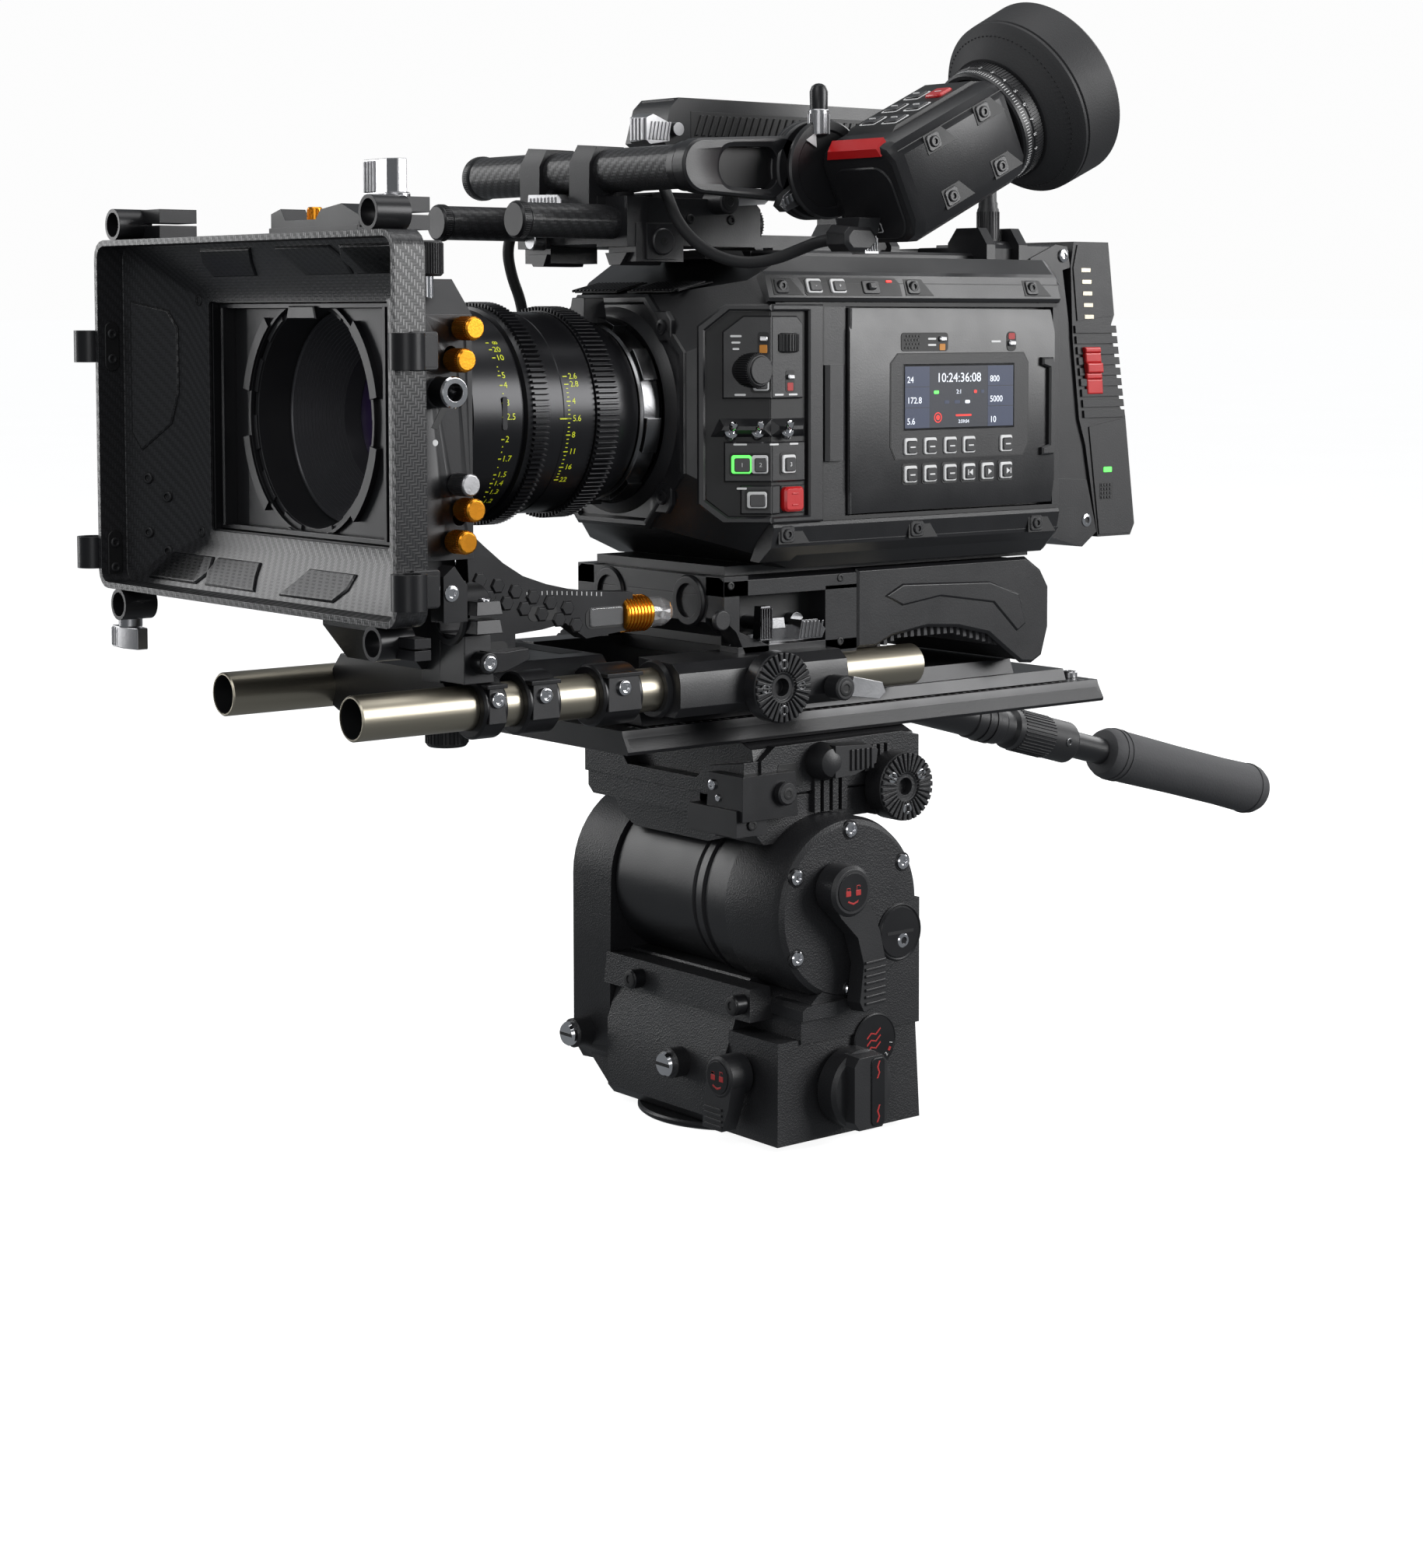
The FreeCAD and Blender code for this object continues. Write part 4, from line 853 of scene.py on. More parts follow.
def key(mould, centre, size, origin=(SIDE, 0, 0), right=(0, 1, 0), up=(0, 0, 1), rim="white", mark=None):
    """A push key: a well painted dark as painted shade, a coloured rim, a raised cap and a small printed
    mark.
    """
    across, rise = centre
    wide, tall = size
    # Dark well round the key: painted shade.
    mould.use("shell_dark_and_painted_shade").plate(oval(centre, (wide + 2.6, tall + 2.6), 1.4), 0.2, 0, origin, right, up)
    mould.use(rim).plate(oval(centre, (wide + 0.6, tall + 0.6), 1.1), 1.1, 0.2, origin, right, up)
    mould.use("key").plate(oval((across + 0.35, rise - 0.25), (wide - 1.3, tall - 1.3), 0.8), 1.9, 0.3,
                           origin, right, up)
    if mark:
        turn = basis(origin, right, up)
        mould.text(mark, turn @ Vector((across + 0.35, rise - 0.25, 1.9)), right, up, 2.6)


def octagon_ring(half, low, top, chamfer, y):
    """An eight-sided outline with equal chamfers, in a plane across the rig."""
    return [(half, y, low + chamfer), (half, y, top - chamfer), (half - chamfer, y, top),
            (chamfer - half, y, top), (-half, y, top - chamfer), (-half, y, low + chamfer),
            (chamfer - half, y, low), (half - chamfer, y, low)]


def build_mount_plate(mould):
    """The eight-sided plate round the lens mount: raised frame, dark well, corner pads and screws."""
    mould.use("shell")
    mould.loft([octagon_ring(52, 68, 172, 25.5, 171.6), octagon_ring(52, 68, 172, 25.5, 170),
                octagon_ring(50.5, 69.5, 170.5, 25, 169), octagon_ring(48.6, 71.4, 168.6, 24, 169),
                octagon_ring(48, 72, 168, 24, 170.2), octagon_ring(47, 73, 167, 23, 171.6)], close=True)
    mould.lathe("y", LENS_AXIS, [(171.4, 47), (168.4, 43.4), (167.6, 41.8), (170.8, 37), (171.4, 36)], 96)
    for across in (-1, 1):
        for rise in (-1, 1):
            spot = (across * 37.5, 168.8, LENS_Z + rise * 37.5)
            pad = [(6.5, -6), (6.5, 3), (3, 7), (-6, 7), (-7, -1), (-2, -6.5)]
            mould.plate([(a * across, b * rise) for a, b in pad], 1.4, 0.5, (spot[0], 170.6, spot[2]),
                        (1, 0, 0), (0, 0, 1), sink=1)
            mould.screw((spot[0], 169, spot[2]), (0, -1, 0), 3.3, material="shell")


def build_vents(mould):
    """Ribbed vents on the slope over the lens, and the long seams round the body."""
    slope = ((0, 171.5, 172.2), (1, 0, 0), (0, 0.972, 0.235))
    for side in (-1, 1):
        low = [(side * 4, 4), (side * 36, 4), (side * 44, 18), (side * 44, 22), (side * 4, 22)]
        # The dark plate under the ribs is painted shade in the vent openings.
        mould.use("shell_dark_and_painted_shade").plate(low, 0.3, 0.1, *slope)
        mould.use("shell")
        for rib in range(13):
            across = side * (6 + 2.8 * rib)
            mould.plate([(across - 0.6, 5.5), (across + 0.6, 5.5), (across + 0.6, 21), (across - 0.6, 21)],
                        0.8, 0.2, *slope)
    mould.use("shell_dark_and_painted_shade")
    mould.box((74.9, 75.35), (203, 376), (166.6, 168.3))
    mould.box((74.9, 75.35), (230, 376), (71.4, 73.2))
    mould.box((74.9, 75.3), (229.6, 231), (73, 167))


def build_top_strip(mould):
    """The bright strip along the top edge with its screws, the two keys, the power switch and the lamp."""
    mould.use("shell").prism("xz", [(74.5, 168.3), (76.4, 168.8), (77, 170.5), (73.8, 180.4), (71, 182),
                                    (68, 179)], (198, 376.5))
    for y in (206, 283.5, 358.5):
        # Dark plate under each screw: painted shade in its pocket.
        mould.use("shell_dark_and_painted_shade").plate([(y - 5, 0.6), (y + 12, 0.6), (y + 6, 8.4), (y - 5, 8.4)], 0.25, 0.1,
                                      *STRIP)
        mould.use("shell").plate(oval((y, 4.6), (7.6, 7), 1.6), 0.9, 0.4, *STRIP)
        centre = basis(*STRIP) @ Vector((y, 4.6, 0.9))
        mould.screw(centre, (0.944, 0, 0.33), 2.5, material="shell")
    # Dark field round the keys, switch and lamp: painted shade in the key well.
    mould.use("shell_dark_and_painted_shade").plate([(222, 0.4), (276, 0.4), (276, 6), (273, 9.4), (216, 9.4)], 0.15, 0.05,
                                  *STRIP)
    for y, mark in ((224.4, "-"), (238.4, "+")):
        key(mould, (y, 4.7), (8, 6), *STRIP, mark=mark)
    mould.use("shell").plate(oval((258, 4.4), (10, 6.4), 1.2), 0.7, 0.3, *STRIP)
    mould.use("key").plate(oval((258, 4.6), (4, 3.4), 0.7), 2.4, 0.6, *STRIP)
    mould.use("red_light").plate(oval((269.6, 7.2), (3.6, 1.2), 0.5), 0.5, 0.1, *STRIP)


def console(mould, low, high, start, end, cut=0.0):
    """A raised panel that runs over the chamfer and on along the side."""
    front = [(slant(start), low), (38.6, low), (38.6, high), (slant(start) + cut * 1.3, high),
             (slant(start), high - cut)]
    if not cut:
        front = front[:4]
    mould.plate(front, 2.0, 0.6, *CHAMFER)
    mould.plate([(199.4, low), (end, low), (end, high - cut / 2), (end - cut / 2, high),
                 (199.4, high)] if cut else [(199.4, low), (end, low), (end, high), (199.4, high)], 2.0,
                0.6, (SIDE, 0, 0))


def build_bay(mould):
    """The control bay behind the lens mount: lip, raised consoles, toggle shelf and hinge cover."""
    mould.use("shell")
    lip = [(slant(175.5), 80), (slant(184), 71.5), (38.4, 71.5), (38.4, 74.5), (slant(186), 74.5),
           (slant(178.2), 82), (slant(178.2), 156), (slant(186.5), 164.6), (38.4, 164.6), (38.4, 167.6),
           (slant(185), 167.6), (slant(175.5), 158)]
    mould.plate(lip, 2.6, 0.8, *CHAMFER)
    mould.plate([(199.4, 71.5), (229, 71.5), (229, 167.6), (199.4, 167.6), (199.4, 164.6), (220.5, 164.6),
                 (220.5, 74.5), (199.4, 74.5)], 2.6, 0.8, (SIDE, 0, 0))
    # Dark floor of the bay between lip and consoles: painted shade in the recess.
    mould.use("shell_dark_and_painted_shade").plate([(slant(178.4), 82.5), (slant(186), 74.8), (38.2, 74.8), (38.2, 164.4),
                                   (slant(186.4), 164.4), (slant(178.4), 155.6)], 0.2, 0, *CHAMFER)
    mould.plate([(199.8, 74.8), (220.3, 74.8), (220.3, 164.4), (199.8, 164.4)], 0.2, 0, (SIDE, 0, 0))
    mould.use("shell")
    console(mould, 126.3, 162.5, 184, 217.4, 7)
    console(mould, 89.8, 107.4, 184.5, 218.6)
    console(mould, 75.6, 88.4, 190, 204.5)
    shelf = [(slant(180), 109.5), (38.6, 109.5), (38.6, 117.5), (slant(183), 117.5)]
    mould.plate(shelf, 3.4, 3.2, *CHAMFER)
    mould.plate([(199.4, 109.5), (219.5, 109.5), (219.5, 117.5), (199.4, 117.5)], 3.4, 3.2, (SIDE, 0, 0))
    mould.prism("xy", [(74, 230.5), (76.4, 230.5), (78, 232.2), (78, 240), (76.8, 241.6), (74, 241.6)],
                (98, 140.7))
    # Dark patch round the record button: painted shade in its recess.
    mould.use("shell_dark_and_painted_shade").plate([(205.6, 75.8), (219, 75.8), (219, 88), (205.6, 88)], 0.8, 0.3,
                                  (SIDE, 0, 0))


def build_bay_controls(mould):
    """Slide switches and their coloured flags, and short printed bars beside the controls."""
    for y, z, flag in ((197.8, 150.4, "orange"), (209.8, 133.8, "dark_red")):
        home = CHAMFER if y < 200 else facing(1, SIDE)
        across = slant(y) if y < 200 else y
        origin = Vector(home[0]) + Vector(FACING if y < 200 else (1, 0, 0)) * 2
        # Dark slot round the slide switch: painted shade.
        mould.use("shell_dark_and_painted_shade").plate(oval((across, z), (5, 10), 1.2), 0.15, 0, origin, *home[1:])
        mould.use(flag).plate(oval((across, z - 2.4), (3.4, 3.6), 0.4), 0.3, 0.1, origin, *home[1:])
        mould.use("silver").plate(oval((across, z + 2), (3.6, 2.2), 0.6), 1.4, 0.4, origin, *home[1:])
    origin = Vector(CHAMFER[0]) + Vector(FACING) * 2
    mould.use("white")
    for across, z, width in ((slant(188.6), 153.6, 5), (slant(188.6), 150.8, 4), (slant(188.6), 148, 3),
                             (slant(190), 128, 5), (slant(190.5), 87, 4.5)):
        mould.plate(oval((across, z), (width, 0.9), 0.4, 2), 0.12, 0, origin, *CHAMFER[1:])
    for y, z in ((203.6, 128), (211.5, 128), (200.8, 106.3), (212, 106.3)):
        mould.plate(oval((y, z), (5, 0.8), 0.35, 2), 0.12, 0, (SIDE + 2, 0, 0))
    mould.plate(oval((slant(190), 106.3), (6, 0.8), 0.35, 2), 0.12, 0, origin, *CHAMFER[1:])


def build_low_strip(mould):
    """The sloping strip along the lower edge, with three screws in pockets."""
    mould.use("shell").prism("xz", [(74.5, 71.4), (75.8, 71.2), (76.6, 69.6), (74.6, 60.6), (66, 53.6),
                                    (60, 54), (66, 66)], (201, 377))
    for y, z in ((209, 66.4), (286, 65.6), (362, 64.8)):
        side_screw(mould, y, z, 75.9)


def build_roof(mould):
    """Roof rails with their slots, antenna foot and the rear bridge over the battery plate."""
    mould.use("shell")
    for side in (-1, 1):
        mould.plate([(side * 50, 232), (side * 30, 226), (side * 30, 352), (side * 50, 346)], 3.2, 1.2,
                    (0, 0, 188.8), (1, 0, 0), (0, 1, 0))
        for y in (238, 262, 286, 310):
            mould.box(sorted((side * 24, side * 31)), (y, y + 17), (188, 193.4))
        base = [(side * 57, 346), (side * 33, 346), (side * 36, 373), (side * 54, 373)]
        mould.plate(base, 9, 3.5, (0, 0, 188.8), (1, 0, 0), (0, 1, 0))
        for y in (345.5, 366.5):
            mould.prism("xz", [(side * 59, 188.8), (side * 59, 196), (side * 53, 204), (side * 38, 204),
                               (side * 32, 197), (side * 32, 188.8)], (y, y + 5.5))
    mould.box((-24, 24), (204, 228), (188, 192), 1.5)
    mould.ridges(7, "y", 6, (-18, 18), (320, 323), (188, 190.6))


def build_rear(mould):
    """Battery plate frame with its corner screws, and the sockets on the far side."""
    mould.use("shell")
    mould.prism("yz", [(384, 190), (401, 197), (409, 196), (411, 186), (403, 184), (388, 178)], (-49, 49))
    mould.prism("yz", [(388, 84), (423, 82), (430, 56), (420, 49), (386, 58)], (-49.5, 49.5))
    for y, z in ((406, 191.7), (423, 62)):
        mould.screw((49.4, y, z), (1, 0, 0), 3.2, material="chrome")
        mould.screw((-49.4, y, z), (-1, 0, 0), 3.2, material="chrome")
    far = facing(-1, SIDE)
    mould.plate([(-365, 75), (-206, 75), (-206, 164), (-365, 164)], 1.2, 0.6, *far)
    for row in range(3):
        for column in range(5):
            across, rise = -352 + column * 31, 88 + row * 29
            mould.use("steel").lathe("x", (-across, rise), [(-SIDE - 4.6, 3.4), (-SIDE - 4.6, 6.6),
                                                            (-SIDE - 0.6, 7.4), (-SIDE - 0.6, 3.4)], 28)
            # Dark disc inside the socket: painted shade in its bore.
            mould.use("shell_dark_and_painted_shade").cylinder("x", (-across, rise), (-SIDE - 2, -SIDE - 0.6), 3.5)


def build_body():
    """The camera body's own shape, and the trim that stands on it."""
    skin("camera_body", "shell", 0.9)
    mould = Mould("shell")
    build_mount_plate(mould)
    build_vents(mould)
    build_top_strip(mould)
    build_bay(mould)
    build_bay_controls(mould)
    build_low_strip(mould)
    build_roof(mould)
    build_rear(mould)
    mould.piece("camera_body_trim", "camera_body", bevel=0.35, hides=False)


def build_controls():
    """Dial, wheel, toggles, keys and record button: each rides on its own body."""
    mould = Mould("plastic")
    mould.knob("x", (193.2, 138.7), (65, 77.2), 7.3, 0.7, (68, 76.2), 44, 0.45)
    mould.lathe("x", (193.2, 138.7), [(77.2, 6.2), (78, 5.8), (78, 0)], 40, closed=False)
    mould.piece("control_dial", bevel=0.15)
    mould = Mould("plastic")
    mould.knob("z", (72.4, 209), (146.4, 155), 7.2, 0.6, (147, 154.4), 30, 0.45)
    mould.piece("volume_wheel", bevel=0.15)

    mould = Mould("chrome")
    for x, y, z in ((64.6, 186, 110.2), (71, 195.8, 110.4), (76.6, 208, 110.6)):
        start = Vector((x, y, z))
        way = Vector((0.75, -0.35, 0.55)).normalized()
        mould.matrix = basis(start, Vector((0, 0, 1)).cross(way), (0, 0, 1)) @ Matrix.Rotation(-0.6, 4, "X")
        mould.lathe("z", (0, 0), [(0, 2.8), (2.4, 2.8), (2.8, 1.3), (5.6, 1.5), (8, 1.9), (9.2, 1.4),
                                  (9.6, 0)], 20, closed=False)
    mould.matrix = Matrix()
    mould.piece("toggle_switches", bevel=0)

    mould = Mould("key")
    raised = Vector(CHAMFER[0]) + Vector(FACING) * 2
    flat = (SIDE + 2, 0, 0)
    key(mould, (slant(190.4), 97.6), (8.2, 7.4), raised, *CHAMFER[1:], rim="green", mark="1")
    key(mould, (slant(196.6), 97.6), (6.6, 7.4), raised, *CHAMFER[1:], mark="2")
    key(mould, (208.6, 97.6), (6.8, 7.4), flat, mark="3")
    key(mould, (slant(195.6), 82), (8, 6.6), raised, *CHAMFER[1:])
    key(mould, (slant(197), 133.4), (6.4, 6.6), raised, *CHAMFER[1:])
    mould.piece("panel_keys", bevel=0.15)

    mould = Mould("red")
    mould.plate(oval((211.2, 82), (11.2, 11), 2.2), 4.0, 1.0, (SIDE, 0, 0))
    for z in (79.5, 84.5):
        mould.plate(oval((211.2, z), (3.6, 0.6), 0.2), 0.35, 0.1, (SIDE + 4, 0, 0))
    mould.piece("record_button", bevel=0.3)


def build_door():
    """The monitor door: framed screen, two key rows with white rims, slide switches and a small grille."""
    x = 77
    face = facing(1, x)
    mould = Mould("shell")
    mould.prism("xz", [(69, 73.7), (75, 73.7), (77, 85), (77, 155.4), (74, 166.2), (69, 166.2)],
                (244.6, 373), 0.8)
    mould.cylinder("z", (75.4, 245.5), (73.8, 166), 1.3)
    mould.plate([(363.4, 97), (370.6, 97), (371.6, 99), (371.6, 141), (370.6, 143), (363.4, 143),
                 (363.4, 139.4), (368, 138), (368, 102), (363.4, 100.6)], 2.2, 0.8, *face)
    frame_line = [(268.5, 103), (271.5, 97.2), (352, 97.2), (355.5, 103), (355.5, 141), (352.5, 145.6),
                  (273, 145.6), (268.5, 141)]
    mould.use("shell_dark_and_painted_shade").plate(frame_line, 0.14, 0, *face)
    mould.use("shell").plate(shrunk(frame_line, 0.5), 0.24, 0, *face)
    mould.use("screen_edge").plate([(276.2, 110.4), (346.2, 110.4), (346.2, 140.6), (276.2, 140.6)], 0.5,
                                   0.2, *face)
    build_display(mould, x + 0.5)
    columns = (280.6, 292.7, 305.1, 316.9, 328.8, 340.6)
    high, low = 103.2, 90.6
    top_row = columns[:4] + columns[5:]
    for z, places in ((high, top_row), (low, columns)):
        for y in places:
            key(mould, (y, z), (7, 7), *face)
    arrows = {316.9: (-1, True), 328.8: (1, False), 340.6: (1, True)}
    for y, (way, bar) in arrows.items():
        mould.use("white").plate([(y - way + 0.3, 89), (y + way * 1.2 + 0.3, 90.4), (y - way + 0.3, 91.8)],
                                 0.1, 0, (x + 1.95, 0, 0))
        if bar:
            mould.plate(oval((y + way * 1.7 + 0.3, 90.4), (0.5, 2.6), 0.2), 0.1, 0, (x + 1.95, 0, 0))
    for y, z in [(y, high) for y in top_row] + [(y, low) for y in columns[:3]]:
        mould.use("white").plate(oval((y + 0.3, z - 0.3), (3.2, 0.6), 0.25), 0.1, 0, (x + 1.95, 0, 0))
    # Dark field round the grille and switch: painted shade in the recess.
    mould.use("shell_dark_and_painted_shade").plate(oval((289.6, 150.6), (29, 8.4), 1.6), 0.2, 0.1, *face)
    mould.use("shell")
    for column in range(5):
        for row in range(4):
            mould.plate(oval((277.6 + column * 1.9 + (row % 2) * 0.9, 147.9 + row * 1.8), (1.1, 1.1), 0.5,
                             1), 0.5, 0.1, *face)
    mould.use("orange").plate(oval((300.4, 148.2), (3.6, 3), 0.5), 0.4, 0.1, *face)
    mould.use("silver").plate(oval((300.4, 152), (4.4, 2.4), 0.8), 1.4, 0.5, *face)
    mould.use("white")
    for rise in (152, 149.2):
        mould.plate(oval((294, rise), (5, 0.9), 0.4, 2), 0.3, 0, *face)
    mould.plate(oval((334.5, 150.6), (6, 0.9), 0.4, 2), 0.12, 0, *face)
    # Dark slot round the slide switch: painted shade.
    mould.use("shell_dark_and_painted_shade").plate(oval((344.4, 150.6), (6, 9), 2), 0.2, 0.1, *face)
    mould.use("dark_red").plate(oval((344.4, 153), (4.2, 3), 0.8), 0.4, 0.1, *face)
    mould.use("silver").plate(oval((344.4, 149.8), (4.4, 2.6), 0.9), 1.4, 0.5, *face)
    mould.piece("monitor_door", bevel=0.25)


def build_display(mould, x):
    """A generic page of recording figures: two blue columns, a dark middle, a counter and a level bar."""
    face = facing(1, x)
    mould.use("screen_dark").plate([(277.2, 111.4), (345.2, 111.4), (345.2, 139.6), (277.2, 139.6)], 0.05,
                                   0, *face)
    for low, high in ((277.2, 292.2), (328.9, 345.2)):
        for row in range(3):
            mould.use("screen").plate([(low, 111.4 + row * 9.45), (high, 111.4 + row * 9.45),
                                       (high, 120.55 + row * 9.45), (low, 120.55 + row * 9.45)], 0.09, 0,
                                      *face)
    figures = (("24", 278.4, 133.3), ("172.8", 278.4, 123.9), ("5.6", 278.4, 114.4), ("800", 330.2, 133.3),
               ("5000", 330.2, 123.9), ("10", 330.2, 114.4))
    for words, y, z in figures:
        mould.text(words, (x, y, z), (0, 1, 0), (0, 0, 1), 4.1, "screen_text", 0.12, centred=False)
    mould.text("10:24:36:08", (x, 310.6, 134), (0, 1, 0), (0, 0, 1), 6.0, "screen_text", 0.12)
    mould.text("2:1", (x, 310.6, 127.6), (0, 1, 0), (0, 0, 1), 2.8, "screen_text", 0.12)
    lamps = ((296.5, 3, "green"), (321, 1.8, "red_light"), (325.5, 2, "screen"), (303, 3, "screen"),
             (309.5, 3.4, "screen"), (316, 3, "screen_text"))
    for y, width, material in lamps:
        mould.use(material).plate(oval((y, 127.6 if y < 297 or y > 320 else 123), (width, 1.5), 0.5), 0.12,
                                  0, *face)
    mould.use("red_light")
    mould.lathe("x", (297.5, 116), [(x, 1.9), (x + 0.12, 1.9), (x + 0.12, 2.4), (x, 2.4)], 28)
    mould.lathe("x", (297.5, 116), [(x + 0.12, 1.2), (x + 0.12, 0)], 24, closed=False)
    mould.plate(oval((313.6, 116.8), (10, 0.9), 0.4), 0.12, 0, *face)
    mould.text("2:59:04", (x, 313.6, 113.9), (0, 1, 0), (0, 0, 1), 2.3, "screen_text", 0.12)


def build_battery():
    """The battery: waisted block with ribs, level bars, ribbed red latch and a green lamp."""
    mould = Mould("plastic")
    shape = [(411, 187), (413, 198.6), (437, 198.6), (441.6, 163), (439.4, 158), (446.4, 117), (450, 113),
             (457, 59), (454, 53.4), (431, 53.4), (422, 99), (417.5, 112), (414, 140), (412.6, 152)]
    mould.prism("yz", shape, (-49.4, 49.4))
    mould.prism("yz", [(415.4, 160), (412.4, 186), (415, 197), (436.4, 197), (440.6, 162.6)], (-50, 50))
    mould.prism("yz", [(424, 108), (431.6, 54.6), (453.4, 54.6), (456, 59), (449, 112)], (-50, 50))
    for step in range(9):
        z = 112.5 + step * 5.2
        shift = (z - 112) * -0.155
        mould.prism("yz", [(420.4 + shift, z), (449 + shift, z), (448.4 + shift, z + 3.6),
                           (420 + shift, z + 3.6)], (-50.4, 50.4))
    for side in (-1, 1):
        home = facing(side, 50)
        mould.use("titanium")
        for step in range(5):
            y = side * (423.4 - step * 0.65)
            mould.plate(oval((y, 162 + step * 5.7), (6.4, 2), 0.3), 0.2, 0.05, *home)
        # Dark field behind the grille dots: painted shade in the holes.
        mould.use("shell_dark_and_painted_shade").plate(oval((side * 436, 76), (9, 8), 1), 0.15, 0, *home)
        mould.use("plastic")
        for column in range(4):
            for row in range(4):
                mould.plate(oval((side * (433 + column * 2), 73 + row * 2), (1.4, 1.4), 0.3, 1), 0.5, 0.1,
                            *home)
        mould.use("green").plate(oval((side * 437, 86.6), (5.6, 2.6), 0.5), 0.4, 0.1, *home)
    mould.piece("battery", bevel=0.6)
    mould = Mould("red")
    ribs = ((144.5, 147.2, 2.6), (139.5, 144.5, 2.0), (134.5, 139.5, 2.8), (131.5, 134.5, 1.6),
            (124, 131.5, 0.9))
    for low, high, lift in ribs:
        shift = (low - 112) * -0.155
        mould.plate([(424 + shift, low), (435 + shift, low), (434.4 + shift, high), (423.4 + shift, high)],
                    lift, 0.5, (50, 0, 0))
    mould.piece("battery_latch", bevel=0.3)


# ---------------------------------------------------------------- top handle and viewfinder support

def build_handle():
    """The top handle with ribbed sides and foot, and the silver lever at its front."""
    mould = Mould("shell")
    grip = [(190, 241), (194, 255), (198, 258.8), (320, 258.8), (328, 252), (330, 246), (330, 234),
            (318, 236), (204, 236), (196, 237)]
    mould.prism("yz", grip, (-11.5, 11.5))
    mould.prism("yz", shrunk(grip, 1.6), (-14, 14))
    mould.prism("xz", [(-9, 258), (-7, 259.6), (7, 259.6), (9, 258)], (202, 312))
    for side in (-1, 1):
        home = facing(side, 14)
        inset = [(204, 241.5), (310, 243.5), (317, 247.5), (317, 254.5), (204, 254.5)]
        # Dark inset behind the ribs: painted shade between them.
        mould.use("shell_dark_and_painted_shade").plate([(side * y, z) for y, z in inset][::side], 0.2, 0.1, *home)
        for step in range(27):
            y = 206 + step * 3.9
            rib = [(y, 243.6), (y + 1.7, 243.6), (y + 5.2, 253), (y + 3.5, 253)]
            mould.plate([(side * a, b) for a, b in rib][::side], 1.0, 0.3, *home)
        mould.use("shell")
    for y in (196, 205):
        mould.box((-12, 12), (y, y + 2.6), (255, 259.8))
    mould.prism("yz", [(292, 236), (300, 228), (300, 206), (296, 200), (328, 200), (326, 208), (326, 240)],
                (-11, 11))
    mould.prism("yz", [(238, 192), (236, 195), (240, 199.4), (316, 199.4), (318, 195), (316, 192)], (-19, 19))
    mould.piece("top_handle", bevel=0.7)
    mould = Mould("silver")
    mould.cylinder("x", (195, 246), (-17, 17), 3)
    mould.prism("yz", [(176.6, 240), (179, 238), (191, 240), (191, 249), (181, 253), (176.6, 251)],
                (5, 16.4), 0.8)
    for step in range(6):
        y = 178.4 + step * 2
        mould.plate([(y, 240.8), (y + 1, 240.8), (y + 2.6, 249), (y + 1.6, 249)], 0.6, 0.2, (16.4, 0, 0))
    mould.ridges(4, "x", 2.6, (6, 7.2), (175.9, 177), (240.6, 250.4))
    mould.piece("handle_lever", bevel=0.25)


def build_finder_mount():
    """The block over the roof: rod sleeves, yokes round the cross tube, release button and lock."""
    mould = Mould("shell")
    block = [(150, 194), (150, 212), (153, 214), (219, 214), (223, 210), (223, 196), (219, 193), (160, 193)]
    mould.prism("yz", block, (-40.5, 40.5))
    mould.prism("yz", [(170, 213), (170, 216), (174, 217), (214, 217), (216, 213)], (-30, 30))
    for side in (-1, 1):
        mould.box(sorted((side * 19, side * 41.5)), (147.6, 158), (192.5, 214.4))
        mould.box(sorted((side * 22, side * 42)), (152, 178), (186, 203))
        mould.prism("xz", [(side * 22, 190), (side * 38, 190), (side * 33, 184.6), (side * 25, 184.6)],
                    (150, 172))
        mould.box(sorted((side * 40, side * 43.2)), (157, 173.5), (187, 202.6))
        mould.cylinder("x", (165.2, 194.8), sorted((side * 42, side * 45)), 5.9, bevel=0.6)
        yoke = [(138, 207), (138, 229), (142.6, 237.2), (158.4, 237.2), (163.6, 231), (164.6, 207)]
        mould.prism("yz", yoke, sorted((side * 12, side * 25.6)), 1.2)
        mould.prism("yz", [(141, 204), (139, 214), (150, 224), (162, 214), (163, 204)],
                    sorted((side * 9, side * 14)), 1)
    mould.box((-26, 26), (143, 164), (205, 214.6))
    mould.screw((45, 165.2, 194.8), (1, 0, 0), 2, head="flat", material="shell_dark_and_painted_shade", proud=0.2)
    for y in (183, 206):
        mould.screw((40.5, y, 205), (1, 0, 0), 2.2, material="shell_dark_and_painted_shade")
    mould.use("plastic").cylinder("x", (198, 212.6), (36, 50), 5.4, bevel=0.6)
    mould.screw((50, 198, 212.6), (1, 0, 0), 4, material="shell_dark_and_painted_shade", proud=0.4)
    mould.use("silver").prism("yz", [(204, 211), (219, 212), (222, 214.6), (219, 217.4), (204, 217.6)],
                              (41, 48.5))
    mould.use("plastic").knob("y", (30, 203.5), (222, 227), 8.4, 0.6, (222.5, 226.5), 40, 0.5)
    mould.use("silver").cylinder("y", (-24, 196), (142, 150), 4.2, bevel=0.5)
    mould.piece("viewfinder_mount", bevel=0.7)
    mould = Mould("silver")
    mould.cylinder("y", (0, 211), (138, 150), 2.5)
    mould.cylinder("y", (0, 211), (134.4, 144), 5, bevel=0.5)
    mould.prism("xz", [(-14, 209), (-12, 207), (10, 207), (12, 210), (12, 213), (9, 215.4), (-13, 216)],
                (133.6, 138.6))
    mould.ridges(8, "x", 2.7, (-12, -10.8), (133.1, 134), (208.2, 214.4))
    mould.piece("mount_lever", bevel=0.3)


